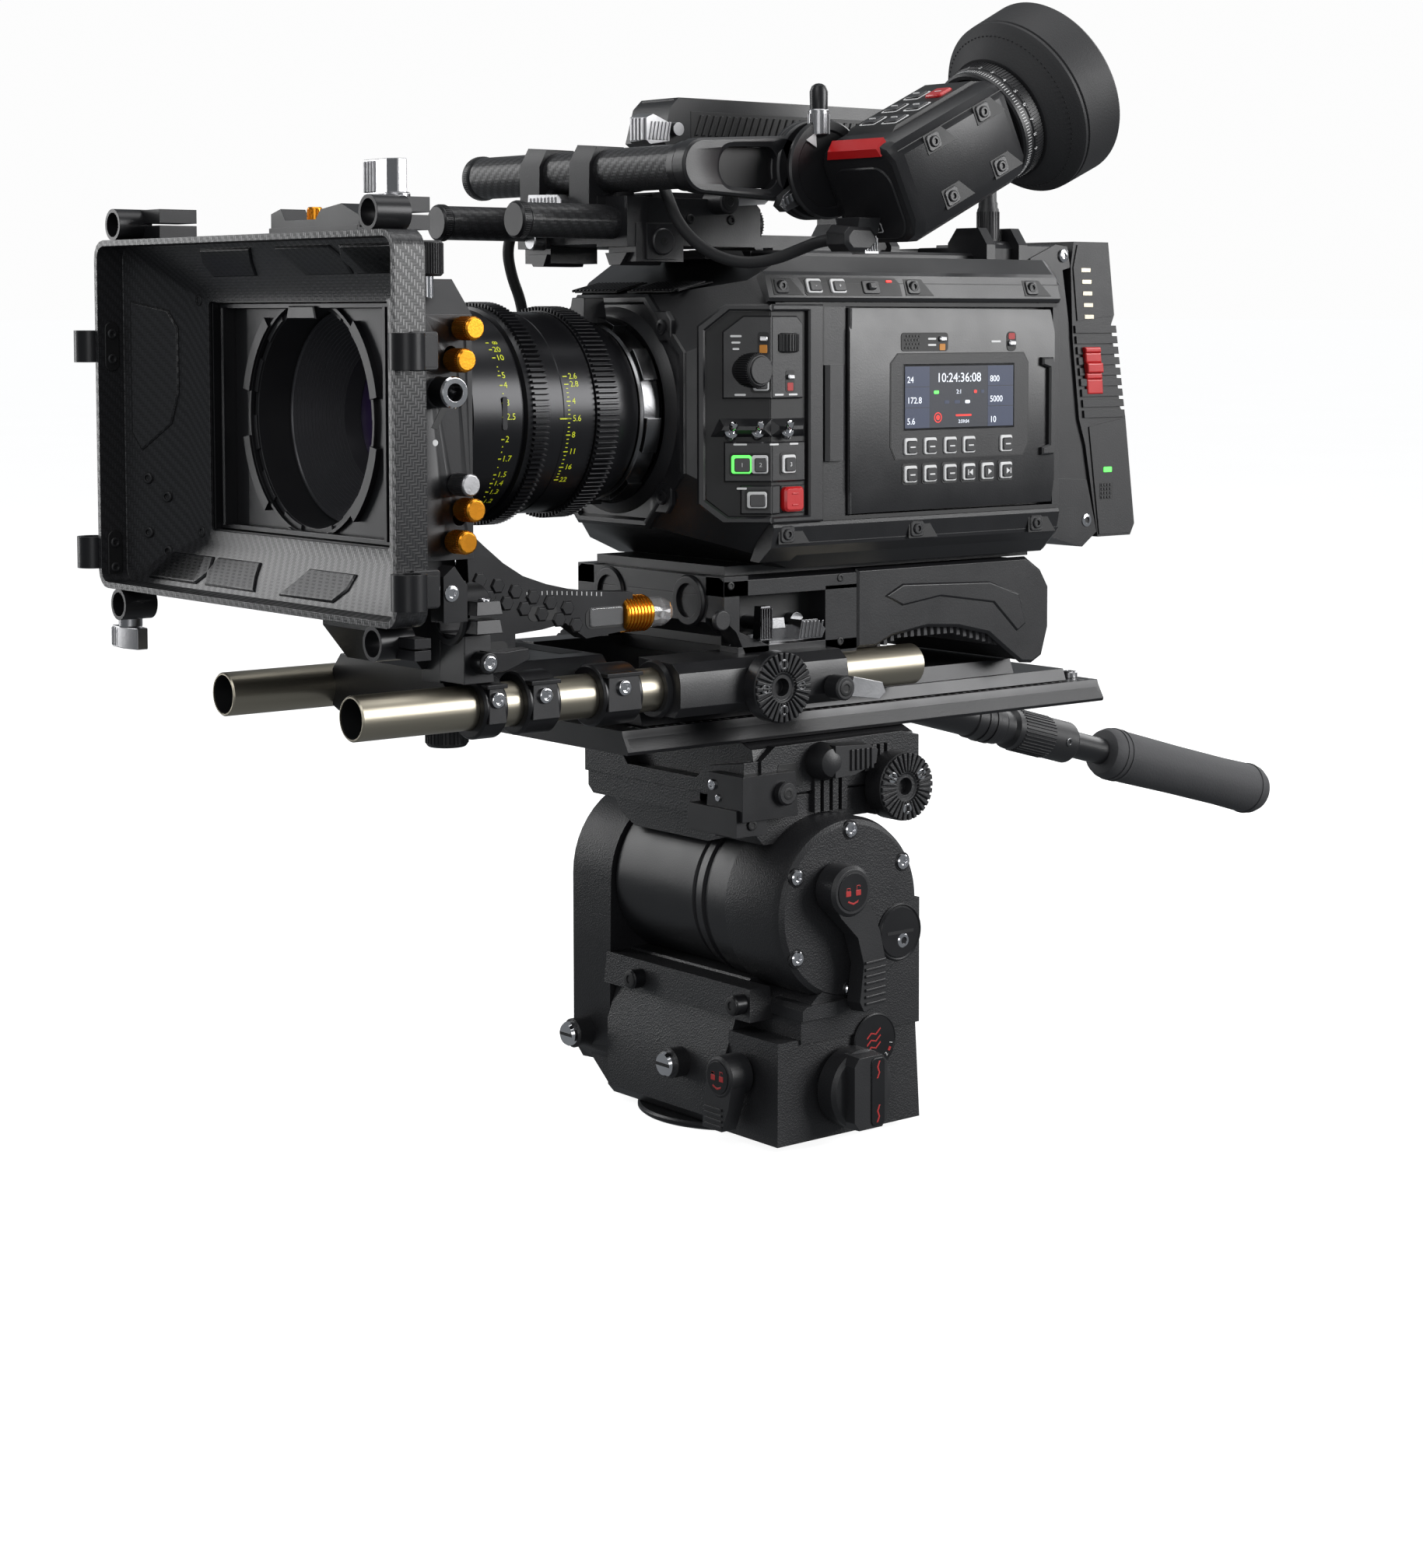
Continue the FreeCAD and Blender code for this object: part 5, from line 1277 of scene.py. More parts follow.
def build_finder_rods():
    """Two carbon rods with knurled ends, and the carbon cross tube with its cap and collar."""
    mould = Mould("tube_twill")
    for side in (-1, 1):
        axis = (side * 30, 203.3)
        mould.cylinder("y", axis, (101, 205), 7.5, sides=64)
        mould.use("anodised").lathe("y", axis, [(96, 0), (96, 7), (96.8, 7.9), (100.4, 8), (101.3, 7.4),
                                                (101.3, 0)], 64, closed=False)
        mould.teeth("y", axis, (97.4, 100), 7.9, 52, 0.28)
        mould.use("tube_twill")
    mould.piece("viewfinder_rods", bevel=0.1)
    mould = Mould("tube_twill")
    axis = (150.5, 225.7)
    mould.cylinder("x", axis, (-71, 83.6), 9.5, sides=72)
    mould.use("anodised").lathe("x", axis, [(-77, 0), (-77, 8.9), (-76.2, 9.9), (-72, 10.1), (-70.6, 9.6),
                                            (-70.6, 0)], 72, closed=False)
    mould.teeth("x", axis, (-75.4, -72), 9.9, 64, 0.3)
    mould.lathe("x", axis, [(78, 9.6), (79, 10.6), (83.6, 10.8), (83.6, 9.4)], 72)
    mould.piece("cross_tube", bevel=0.1)


def arm_outline(x, low, high, radius):
    """A rounded slot outline on the arm's side that widens towards the hub."""
    flat = rounded(low, high, radius, 7)
    return [(x, y, 225.7 + (z - 225.7) * (1 + 0.005 * (y - 139))) for y, z in flat]


def build_arm():
    """The slotted arm with its hub, and the silver lock lever round the hub."""
    mould = Mould("shell")
    outer = ((139.4, 214.8), (205, 236.6), 10.8)
    inner = ((159.5, 218.2), (192, 233), 7)
    lip = ((157, 216.6), (196, 234.6), 8.5)
    mould.loft([arm_outline(84, *outer), arm_outline(91, *outer), arm_outline(92, (140.4, 215.8),
                                                                              (204, 235.6), 9.8),
                arm_outline(92, *lip), arm_outline(90.6, *inner), arm_outline(84, *inner)], close=True)
    web = rounded((158, 217), (193.5, 234.4), 7, 4)
    # Dark web in the slot: painted shade in the slot.
    mould.use("shell_dark_and_painted_shade").prism("yz", web, (84.3, 86))
    mould.use("shell")
    mould.lathe("x", FINDER_HUB, [(84, 5.1), (84, 20.5), (85, 21.5), (87, 21.5), (87.5, 20.8), (88.1, 20.8),
                                  (88.6, 21.5), (91, 21.5), (92, 20.6), (92, 5.1)], 96)
    mould.use("plastic").lathe("x", FINDER_HUB, [(80.6, 0), (80.6, 12), (82, 14), (84.2, 14)], 64,
                               closed=False)
    mould.teeth("x", FINDER_HUB, (82, 84), 14, 48, 0.6)
    mould.piece("viewfinder_arm", bevel=0.3)
    mould = Mould("silver")
    mould.lathe("x", FINDER_HUB, [(92.5, 5.4), (92.5, 15), (96.8, 15), (96.8, 5.4)], 64)
    blade = [(203, 224), (206, 215), (199, 210.2), (191, 206.8), (187.4, 209.4), (189.4, 213.6), (197, 219)]
    mould.prism("yz", blade, (92.4, 97.2))
    for step in range(5):
        y, z = 189.8 + step * 2.2, 208.8 + step * 1.25
        mould.plate([(y, z), (y + 1.1, z + 0.6), (y - 0.3, z + 3.6), (y - 1.4, z + 3)], 0.6, 0.2,
                    (97.2, 0, 0))
    mould.piece("viewfinder_lever", bevel=0.3)


# ---------------------------------------------------------------- viewfinder

CASE = [(-25, -13), (-21, -20), (-14, -23.5), (14, -23.5), (21, -20), (25, -13), (25, 16), (21.5, 21.5),
        (16, 24), (-16, 24), (-21.5, 21.5), (-25, 16)]


def case_ring(along, scale):
    """The viewfinder's outline at a distance along its axis."""
    return [(NOSE_X + x * scale, NOSE_Y + along, NOSE_Z + z * scale) for x, z in CASE]


def on_finder(along, angle, radius):
    """A place on the viewfinder's round end: along its axis, and degrees above its +X side."""
    turn = math.radians(angle)
    place = (NOSE_X + radius * math.cos(turn), NOSE_Y + along, NOSE_Z + radius * math.sin(turn))
    return place, (math.sin(turn), 0, -math.cos(turn))


def build_finder_body():
    """The viewfinder: case, red bar, mark, side screws, hub and the pin at its side."""
    mould = Mould("shell")
    mould.matrix = FINDER
    mould.loft([case_ring(0, 0.86), case_ring(1.2, 0.93), case_ring(5.5, 1), case_ring(66, 1),
                case_ring(70, 0.96), case_ring(72, 0.86)])
    mould.lathe("y", (NOSE_X, NOSE_Z), [(287, 0), (287, 22.6), (299, 22.6), (310, 18.6), (311.6, 16.6)], 72,
                closed=False)
    nose = (FINDER_NOSE, (1, 0, 0), (0, 0, 1))
    mould.plate(oval((0, -3), (37, 33), 9, 6), 1.0, 0.6, *nose)
    mould.use("red").loft([[(105.6, 214.4, 231), (140.4, 214.4, 231), (138.6, 214.6, 234.6),
                            (107.4, 214.6, 234.6)], [(104, 219, 233.6), (142, 219, 233.6),
                                                     (139.6, 219.8, 237.6), (106.4, 219.8, 237.6)]])
    mould.use("white").plate(oval((0, -14), (6.4, 4.6), 1), 1.12, 0, *nose)
    mould.use("shell").plate(oval((0, -14), (5.4, 3.6), 0.7), 1.18, 0, *nose)
    mould.use("white").lathe("y", (123, 199), [(213.76, 1.3), (213.7, 1.3), (213.7, 0.8), (213.76, 0.8)], 24)
    mould.use("shell_dark_and_painted_shade").prism("yz", [(226, 236.6), (230, 238.8), (278, 238.8), (283, 236.6)],
                                  (108.4, 137.6))
    for along in (22.8, 54.4):
        for rise in (14.6, -10.6):
            side_screw(mould, NOSE_Y + along, NOSE_Z + rise, 148, 2.5)
    mould.use("shell_dark_and_painted_shade").plate([(217.5, 231.6), (284, 231.6), (284, 232), (217.5, 232)], 0.06, 0,
                                  (148, 0, 0))
    mould.use("glass").lathe("y", (NOSE_X, NOSE_Z), [(309.4, 17.2), (311, 10), (311.6, 0)], 64, closed=False)
    mould.matrix = Matrix()
    mould.use("shell").lathe("x", FINDER_HUB, [(97.4, 5), (97.4, 20.6), (98.2, 21.5), (99.4, 21.5),
                                               (100.2, 20.6), (100.2, 17), (99.4, 16.2), (99.4, 0)], 96,
                             closed=False)
    mould.cylinder("x", FINDER_HUB, (86, 97.5), 5)
    mould.use("white").plate([(199.4, 237.6), (205.4, 234.6), (204.8, 241)], 0.15, 0, (100.2, 0, 0))
    mould.use("silver").knob("z", (98.5, 208), (240, 251), 4.4, 0.4, (240.5, 249), 26, 0.4)
    mould.use("anodised").lathe("z", (98.5, 208), [(250, 3.8), (258.6, 4), (261, 3), (262, 1.4),
                                                   (262.2, 0)], 32, closed=False)
    mould.piece("viewfinder_body", bevel=0.5)


def build_finder_rings():
    """The dioptre ring with its scale, and the flared eyecup."""
    mould = Mould("plastic")
    mould.matrix = FINDER
    axis = (NOSE_X, NOSE_Z)
    mould.lathe("y", axis, [(287.4, 23.3), (287.4, 25), (288.2, 26), (293, 26), (293.6, 26.7),
                            (298.8, 26.7), (299.2, 26), (299.2, 23.3)], 128)
    mould.teeth("y", axis, (294.2, 298.6), 26.7, 110, 0.35)
    mould.use("white")
    for step in range(120):
        place, right = on_finder(75.6 if step % 5 else 75.9, step * 3, 26)
        mould.plate([(-0.14, -1), (0.14, -1), (0.14, 1), (-0.14, 1)], 0.1, 0, place, right, (0, 1, 0))
    for number in range(1, 10):
        place, right = on_finder(78.4, 92 - 15 * (number - 1), 26.75)
        mould.text(str(number), place, right, (0, 1, 0), 2.8)
    mould.piece("diopter_ring", bevel=0)
    mould = Mould("rubber")
    mould.matrix = FINDER
    mould.lathe("y", axis, [(299.6, 23.2), (299.6, 28), (300.6, 29.4), (304, 32), (309.6, 38.6),
                            (311.6, 40.2), (313, 40.2), (313.5, 39.6), (314, 40.4), (333.6, 41), (335, 40),
                            (335, 37.2), (316, 36), (311.6, 19.4), (311.6, 23.2)], 128)
    for step in range(90):
        place, right = on_finder(92, step * 4, 35.8)
        mould.plate([(-0.5, -0.16), (0.5, -0.16), (0.5, 0.16), (-0.5, 0.16)], 0.35, 0, place, right,
                    (0, 1, 0))
    mould.piece("eyecup", bevel=0.3)


def build_finder_keys():
    """Five keys and the red one on the viewfinder's top."""
    mould = Mould("key")
    mould.matrix = FINDER
    top = ((NOSE_X, NOSE_Y, 237.9), (1, 0, 0), (0, 1, 0))
    for across, along in ((-7, 22), (7, 22), (-7, 36), (7, 36), (-7, 50)):
        key(mould, (across, along), (9.4, 8.6), *top)
    # Dark well round the red key: painted shade.
    mould.use("shell_dark_and_painted_shade").plate(oval((7, 50), (12, 11.4), 1.4), 0.2, 0, *top)
    mould.use("red").plate(oval((7, 50), (9.8, 8.8), 1.4), 2.2, 0.6, *top)
    mould.use("white")
    for across, along in ((-7, 22), (7, 22), (-7, 36), (7, 36), (-7, 50), (7, 50)):
        mould.plate(oval((across, along), (4, 0.7), 0.3), 2.3, 0, *top)
    mould.piece("viewfinder_keys", bevel=0.12)


def plug_ring(x, low, high, cut):
    """An eight-sided outline of the plug, in a plane across X."""
    return [(x, y, z) for y, z in ((low[0] + cut, low[1]), (high[0] - cut, low[1]), (high[0], low[1] + cut),
                                   (high[0], high[1] - cut), (high[0] - cut, high[1]),
                                   (low[0] + cut, high[1]), (low[0], high[1] - cut),
                                   (low[0], low[1] + cut))]


def build_cable():
    """The plug under the viewfinder and the lead from it, round the mount, to the camera's front."""
    mould = Mould("plastic")
    rings = (plug_ring(110, (202.6, 191.6), (209.4, 198.4), 2),
             plug_ring(115, (200, 190.4), (212, 199.6), 3),
             plug_ring(117, (196.4, 189.6), (214, 201), 3),
             plug_ring(128.6, (196.4, 189.6), (214, 200), 3),
             plug_ring(130, (198, 191), (212.6, 198.6), 2.6))
    mould.loft(rings)
    mould.prism("xz", [(116, 197), (128, 197), (130, 204), (114, 204)], (204, 216))
    mould.use("silver").box((120.6, 129.4), (207.4, 215.4), (188.6, 196.6), 0.6)
    mould.ridges(5, "y", 1.4, (129.2, 129.9), (208.4, 209.1), (189.6, 195.6))
    plug = mould.piece("viewfinder_plug", bevel=0.4)
    route = ((115.5, 206, 195), (104, 206, 195), (92, 204, 191.5), (81, 197, 186.5), (71, 186, 185),
             (63, 174, 190), (56, 165, 201), (50, 163, 214), (38, 169, 222), (21, 177, 222), (2, 182, 220),
             (-18, 183, 221), (-35, 177, 221), (-47.5, 166.5, 217), (-56, 157.5, 207), (-60.5, 154.5, 194),
             (-62, 158, 181), (-62, 163.5, 169), (-62, 165.5, 155), (-62, 165.5, 146))
    curve = bpy.data.curves.new("viewfinder_cable", "CURVE")
    curve.dimensions = "3D"
    curve.bevel_depth = 2.6 * MM
    curve.bevel_resolution = 6
    curve.resolution_u = 16
    curve.materials.append(MATERIALS["rubber"])
    spline = curve.splines.new("NURBS")
    spline.points.add(len(route) - 1)
    for point, spot in zip(spline.points, route):
        point.co = (*(ORIGIN + Vector(spot) * MM), 1)
    spline.order_u = 3
    spline.use_endpoint_u = True
    cable = bpy.data.objects.new("viewfinder_cable_lead", curve)
    bpy.context.scene.collection.objects.link(cable)
    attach(cable, BODY_OF["viewfinder_cable"])
    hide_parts("viewfinder_cable")


# ---------------------------------------------------------------- fluid head

def disc_outline(radius, start=0, end=360, step=7.5):
    """Places round the tilt axis, as (y, z), between two angles."""
    count = int((end - start) / step) + 1
    turns = [math.radians(start + step * number) for number in range(count)]
    return [(TILT[0] + radius * math.cos(turn), TILT[1] + radius * math.sin(turn)) for turn in turns]


def rosette(mould, side, centre, span, radius, screws=3):
    """A serrated round face on one side: wedge-shaped teeth, dark centre, hole and screws."""
    low, high = span
    outward = (side, 0, 0)
    profile = [(low, 0), (low, radius - 0.8), (low + 1, radius), (high - 2, radius),
               (high - 1.2, radius - 0.6), (high - 1.2, radius * 0.4), (high - 1.8, radius * 0.36),
               (high - 1.8, 4), (high - 6, 3.6), (high - 6, 0)]
    mould.lathe("x", centre, [(side * along, away) for along, away in profile], 72, closed=False)
    for tooth in range(30):
        turn = math.tau * tooth / 30
        right = (0, math.cos(turn), math.sin(turn))
        up = (0, -side * math.sin(turn), side * math.cos(turn))
        wedge = [(radius * 0.44, -0.5), (radius * 0.98, -1.1), (radius * 0.98, 1.1), (radius * 0.44, 0.5)]
        mould.plate(wedge, 1.2, 0.3, (side * (high - 1.2), *centre), right, up)
    for number in range(screws):
        turn = math.radians(-90 + 360 * number / screws)
        spot = (side * (high - 0.9), centre[0] + radius * 0.64 * math.cos(turn),
                centre[1] + radius * 0.64 * math.sin(turn))
        mould.screw(spot, outward, radius * 0.17, material="chrome" if screws == 3 else "steel", proud=0.9)


def lock_marks(mould, origin, right, up):
    """Closed and open padlocks over a curved arrow, in dark red."""
    mould.use("dark_red")
    for across, lift in ((-2.9, 0.0), (2.9, 0.8)):
        mould.plate(oval((across, -0.6), (3, 2.6), 0.3), 0.12, 0, origin, right, up)
        bow = [(-1.1, 0.6), (-1.1, 2.0 + lift), (1.1, 2.0 + lift), (1.1, 1 + lift), (0.7, 1 + lift),
               (0.7, 1.6 + lift), (-0.7, 1.6 + lift), (-0.7, 0.6)]
        mould.plate([(a + across, b) for a, b in bow], 0.12, 0, origin, right, up)
    arrow = [(-3.6, -4.4), (-2.6, -3.6), (-2.2, -4.2), (0, -4.9), (2.2, -4.2), (3, -3.6), (2.6, -5),
             (0, -5.9), (-2.4, -5)]
    mould.plate(arrow, 0.12, 0, origin, right, up)


def build_yoke():
    """The fluid head's casting: arm, foot, cross block, round cover with its screws, and front screws."""
    mould = Mould("crackle")
    arm = disc_outline(41.9, 0, 180) + [(200.6, -186), (206, -195), (279, -195), (284.4, -186)]
    mould.prism("yz", arm, (-75, -47), 2)
    foot = [(199.5, -170), (206, -153), (206, -147), (214, -138), (285, -138), (285, -206.2), (203, -206.2),
            (199.5, -202)]
    mould.prism("yz", foot, (-46, 44))
    mould.prism("yz", [(201.5, -172), (208, -156), (285, -156), (285, -194), (206, -194), (201.5, -188)],
                (-73, -46))
    mould.prism("xz", [(-48, -206.2), (-66, -192), (-66, -180), (-40, -180), (-40, -206.2)], (204, 284))
    mould.box((-50, 60), (200.4, 214), (-153.6, -138.8), 1)
    for x, z in ((-22, -147), (54, -146)):
        mould.use("anodised").cylinder("y", (x, z), (194.6, 202), 4.6, bevel=0.6)
        mould.screw((x, 194.6, z), (0, -1, 0), 4, material="shell_dark_and_painted_shade", proud=0.5)
    mould.use("crackle")
    mould.box((42, 80), (200, 285), (-206.2, -160), 1.5)
    mould.prism("yz", [(238, -104), (285, -104), (285, -162), (214, -162), (214, -150), (224, -141),
                       (238, -135)], (42, 79.6))
    mould.prism("yz", [(213, -151), (257, -151), (257, -146.5), (254, -144.6), (216, -144.6),
                       (213, -146.5)], (58, 82))
    mould.use("plastic").cylinder("z", (70, 228), (-145, -143.8), 6.4, bevel=0.4)
    mould.use("glass").cylinder("z", (70, 228), (-144, -143.2), 4.6, bevel=0.4)
    mould.use("crackle").lathe("x", TILT, [(42.2, 20), (42.2, 41.9), (75, 41.9), (78.4, 40.6), (80, 38.4),
                                           (80, 0)], 128, closed=False)
    for number in range(6):
        turn = math.radians(30 + 60 * number)
        spot = (80, TILT[0] + 36.3 * math.cos(turn), TILT[1] + 36.3 * math.sin(turn))
        mould.use("anodised").cylinder("x", spot[1:], (79, 80.3), 4.4, bevel=0.2)
        mould.screw((80.2, *spot[1:]), (1, 0, 0), 3.4, material="chrome", proud=1.3)
    cap = (272, -118.5)
    mould.use("anodised").lathe("x", cap, [(79, 13.2), (80.5, 13.2), (80.9, 12.6), (80.5, 12), (81, 11.4),
                                           (81, 0)], 72, closed=False)
    # Dark line across the cap: painted shade in its slot.
    mould.use("shell_dark_and_painted_shade").box((81, 81.15), (264, 280), (-119.2, -117.8))
    build_drag_scale(mould)
    for x in (-65, 11):
        mould.use("crackle").cylinder("y", (x, -180), (192, 202), 7, bevel=0.6)
        mould.screw((x, 192, -180), (0, -1, 0), 5.8, head="slot", material="chrome", proud=3.4)
    mould.piece("head_yoke", bevel=1.1, segments=3)


def build_drag_scale(mould):
    """The round window beside the pan knob, with five steps in red and three waves."""
    centre = (257, -166.5)
    mould.use("anodised").lathe("x", centre, [(79, 12.6), (80.6, 12.6), (81, 12), (80.7, 11.6), (80.7, 0)],
                                64, closed=False)
    for number in range(1, 6):
        turn = math.radians(20 - 33 * number)
        right = (0, -math.sin(turn), math.cos(turn))
        up = (0, -math.cos(turn), -math.sin(turn))
        at = (80.7, centre[0] + 10 * math.cos(turn), centre[1] + 10 * math.sin(turn))
        mould.text(str(number), at, right, up, 2.6)
        between = math.radians(20 - 33 * (number + 0.5))
        at = (80.7, centre[0] + 10 * math.cos(between), centre[1] + 10 * math.sin(between))
        mould.use("dark_red").plate(oval((0, 0), (1.9, 1.4), 0.2), 0.12, 0, at,
                                    (0, -math.sin(between), math.cos(between)),
                                    (0, -math.cos(between), -math.sin(between)))
    mould.use("dark_red")
    for shift in (-3.4, -0.2, 3):
        wave = [(-4, shift - 2.5), (-1.4, shift - 0.2), (1.4, shift - 0.9), (4.2, shift + 1.6)]
        line = wave + [(a - 0.3, b + 0.7) for a, b in reversed(wave)]
        mould.plate(line, 0.12, 0, (80.7, centre[0] - 0.8, centre[1] + 0.5))
    mould.use("crackle")


def build_head_base():
    """The round plate under the head."""
    mould = Mould("anodised")
    mould.lathe("z", (0, 242), [(-210, 0), (-210, 46.2), (-209, 47.5), (-207.6, 47.5), (-206.6, 46.6),
                                (-206.6, 36), (-190.5, 36), (-190.5, 0)], 128, closed=False)
    mould.piece("head_base", bevel=0.2)


def build_head_controls():
    """Pan drag knob, pan lock lever and tilt lock lever."""
    mould = Mould("plastic")
    mould.lathe("x", (240, -184), [(80.5, 0), (80.5, 17), (81.4, 18), (90.6, 18), (92.6, 16.4), (93, 15),
                                   (93, 0)], 96, closed=False)
    mould.prism("yz", [(232, -167), (246, -167), (249.4, -171), (249.4, -197), (246, -201), (232, -201),
                       (229, -197), (229, -171)], (88, 98.4), 0.6)
    mould.use("anodised").plate(oval((243, -184), (8, 31), 2.4), 0.6, 0.3, (98.4, 0, 0))
    mould.use("dark_red")
    for z in (-194, -174):
        mould.plate([(241.8, z - 4), (242.8, z - 4), (244, z - 1.4), (243, z + 1.2), (244.2, z + 4),
                     (243.2, z + 4), (242, z + 1.2), (243, z - 1.4)], 0.7, 0, (98.4, 0, 0))
    mould.piece("pan_drag_knob", bevel=0.9)

    mould = Mould("plastic")
    mould.cylinder("y", (55, -177), (186, 199.8), 9.6, bevel=1.2)
    mould.prism("xz", [(46, -180), (64, -180), (62, -190), (57, -201.6), (43, -201.6), (44, -192)],
                (186.6, 195))
    mould.ridges(4, "z", 2.6, (45, 57.4), (185.9, 187), (-200, -198.8))
    mould.use("anodised").cylinder("y", (55, -177), (185.6, 187), 7.4)
    lock_marks(mould, (55, 185.6, -176.6), (1, 0, 0), (0, 0, 1))
    mould.piece("pan_lock_lever", bevel=0.6)

    mould = Mould("plastic")
    mould.cylinder("x", (232, -93), (80.3, 94), 11.6, bevel=1.6)
    mould.prism("yz", [(221.6, -97), (243, -98), (250, -112), (254, -128), (253.6, -147), (240, -149.4),
                       (237.6, -145), (240, -128), (236, -114), (226, -104)], (83.4, 92.4), 0.8)
    for step in range(7):
        z = -146 + step * 3.1
        mould.plate([(240.6, z), (252.6, z + 0.6), (252.6, z + 2.0), (240.6, z + 1.4)], 0.9, 0.3,
                    (92.4, 0, 0))
    mould.use("anodised").cylinder("x", (232, -93), (93, 94.4), 8.6)
    lock_marks(mould, (94.4, 232, -93), (0, 1, 0), (0, 0, 1))
    mould.piece("tilt_lock_lever", bevel=0.8)


def build_platform():
    """The drum between the arms and the platform over it, with a rosette on each side."""
    mould = Mould("crackle")
    mould.use("shell").lathe("x", TILT, [(-46.5, 0), (-46.5, 37), (-45.5, 38), (13, 38), (13.6, 37),
                                         (17, 37), (17.6, 39.4), (22, 39.6), (22.6, 38.4), (27, 38.4),
                                         (27.6, 40.6), (41.5, 41), (41.5, 0)], 128, closed=False)
    mould.use("crackle")
    mould.prism("xz", [(-56, -61.5), (-50, -72), (-38, -78), (18, -78), (40, -72), (41, -61.5)], (210, 279))
    mould.prism("xz", [(-60, -53.2), (-60, -60), (-56, -63.5), (56, -63.5), (60, -60), (60, -53.2)],
                (199, 301))
    mould.prism("yz", [(199, -53.4), (199, -64), (208, -74), (226, -74), (232, -66), (290, -66), (301, -60),
                       (301, -53.4)], (26, 60.4))
    for side in (-1, 1):
        mould.box(sorted((side * 58, side * 66)), (270, 294), (-66, -46), 1)
        rosette(mould, side, (282, -53.3), (62, 75), 15.9)
    mould.use("anodised").box((42, 68), (190, 222), (-61, -41), 0.8)
    mould.box((30, 66), (188, 206), (-68, -56), 0.8)
    for x, z, size in ((46, -46.4, 2.4), (50.4, -52, 1.6)):
        mould.screw((x, 190, z), (0, -1, 0), size, material="chrome", proud=0.5)
    mould.screw((66.4, 197, -63), (1, 0, 0), 2.4, material="shell_dark_and_painted_shade", proud=0.3)
    mould.use("plastic").cylinder("x", (214, -50), (66, 71), 5.4, bevel=0.8)
    mould.screw((71, 214, -50), (1, 0, 0), 2.8, material="shell_dark_and_painted_shade", proud=0.2)
    mould.use("crackle")
    mould.ridges(4, "y", 5.4, (58, 63), (236, 239.4), (-62, -44))
    mould.piece("tilt_platform", bevel=0.9)


def build_platform_clamp():
    """The clamp that holds the dovetail plate, and its lever."""
    mould = Mould("crackle")
    low = [(-60, -52.8), (60, -52.8), (60.6, -46), (57, -31), (50, -28.4), (-50, -28.4), (-57, -31),
           (-60.6, -46)]
    mould.prism("xz", low, (204, 301))
    mould.prism("xz", [(-60, -52.8), (-60, -40), (-34, -37), (-26, -46), (26, -46), (34, -40), (60, -36),
                       (60, -52.8)], (197, 206))
    mould.prism("yz", [(206, -52), (206, -36), (214, -30), (290, -29.5), (301, -32), (301, -52)], (56, 61.4))
    mould.use("shell_dark_and_painted_shade").plate([(212, -49), (230, -49), (226, -38), (216, -38)], 0.3, 0, (61.4, 0, 0))
    mould.use("crackle")
    mould.ridges(4, "y", 4.4, (60, 63.6), (266, 268.6), (-46, -34))
    mould.box((-46, 46), (205, 295), (-31, -28.4), 1)
    mould.piece("platform_clamp", bevel=0.9)
    mould = Mould("plastic")
    mould.lathe("x", (240, -38.6), [(58, 0), (58, 8), (60, 8.6), (66, 8.6), (71, 6.4), (72.6, 3),
                                    (72.6, 0)], 48, closed=False)
    mould.prism("yz", [(240, -46), (252, -46), (266, -41), (267, -34.4), (262, -31.6), (240, -30.6)],
                (62, 72), 0.8)
    for step in range(5):
        y = 249.6 + step * 3
        mould.plate([(y, -43), (y + 1.5, -43), (y + 1.5, -33.4), (y, -33.4)], 0.9, 0.2, (72, 0, 0))
    mould.piece("platform_lever", bevel=0.7)


def build_pan_bar():
    """The bar on the left side: clamp, outer tube with collars, sliding extension, and ribbed grip."""
    pivot = Vector((-93, 282, -53.3))
    slope = Matrix.Translation(pivot) @ Matrix.Rotation(math.radians(-15.2), 4,
                                                        "X") @ Matrix.Translation(-pivot)
    axis = (-93, -4.3)
    mould = Mould("anodised")
    mould.matrix = slope
    rosette(mould, -1, (282, -53.3), (77, 100), 15.9, 0)
    mould.prism("yz", [(272, -53), (292, -53), (296, -14), (268, -14)], (-101, -85))
    mould.cylinder("y", axis, (252, 330), 13, bevel=1)
    mould.use("shell").cylinder("y", axis, (330, 475), 10, sides=64)
    mould.use("plastic").lathe("y", axis, [(470, 9.6), (471, 10.8), (492, 10.8), (494, 9.4), (500, 9.2),
                                           (502, 11.4), (548, 11.6), (549.5, 10.6), (549.5, 7.6),
                                           (470, 7.6)], 72)
    mould.teeth("y", axis, (506, 530), 11.5, 36, 0.5)
    for along in (478, 484):
        mould.lathe("y", axis, [(along, 10.4), (along, 11.4), (along + 2.6, 11.4), (along + 2.6, 10.4)], 64)
    mould.screw((axis[0] + 11.4, 540, axis[1]), (1, 0, 0), 2.4, material="steel")
    mould.piece("pan_bar_tube", bevel=0.4)
    mould = Mould("shell")
    mould.matrix = slope
    mould.cylinder("y", axis, (345, 577.5), 7.5, sides=64)
    mould.piece("pan_bar_extension", bevel=0.2)
    mould = Mould("grip")
    mould.matrix = slope
    waist = [(577.6, 0), (577.6, 9.5), (579, 12.6), (583, 14.4), (600, 14.5), (640, 14), (680, 14),
             (700, 14.5), (709, 14.3), (713, 12.4), (714.2, 9), (714.2, 0)]
    mould.lathe("y", axis, waist, 96, closed=False)
    for along in (586, 590, 704):
        mould.lathe("y", axis, [(along, 14), (along, 15), (along + 1.8, 15), (along + 1.8, 14)], 72)
    mould.piece("pan_bar_grip", bevel=0.3)


# ---------------------------------------------------------------- dovetail, bridge plate, rods

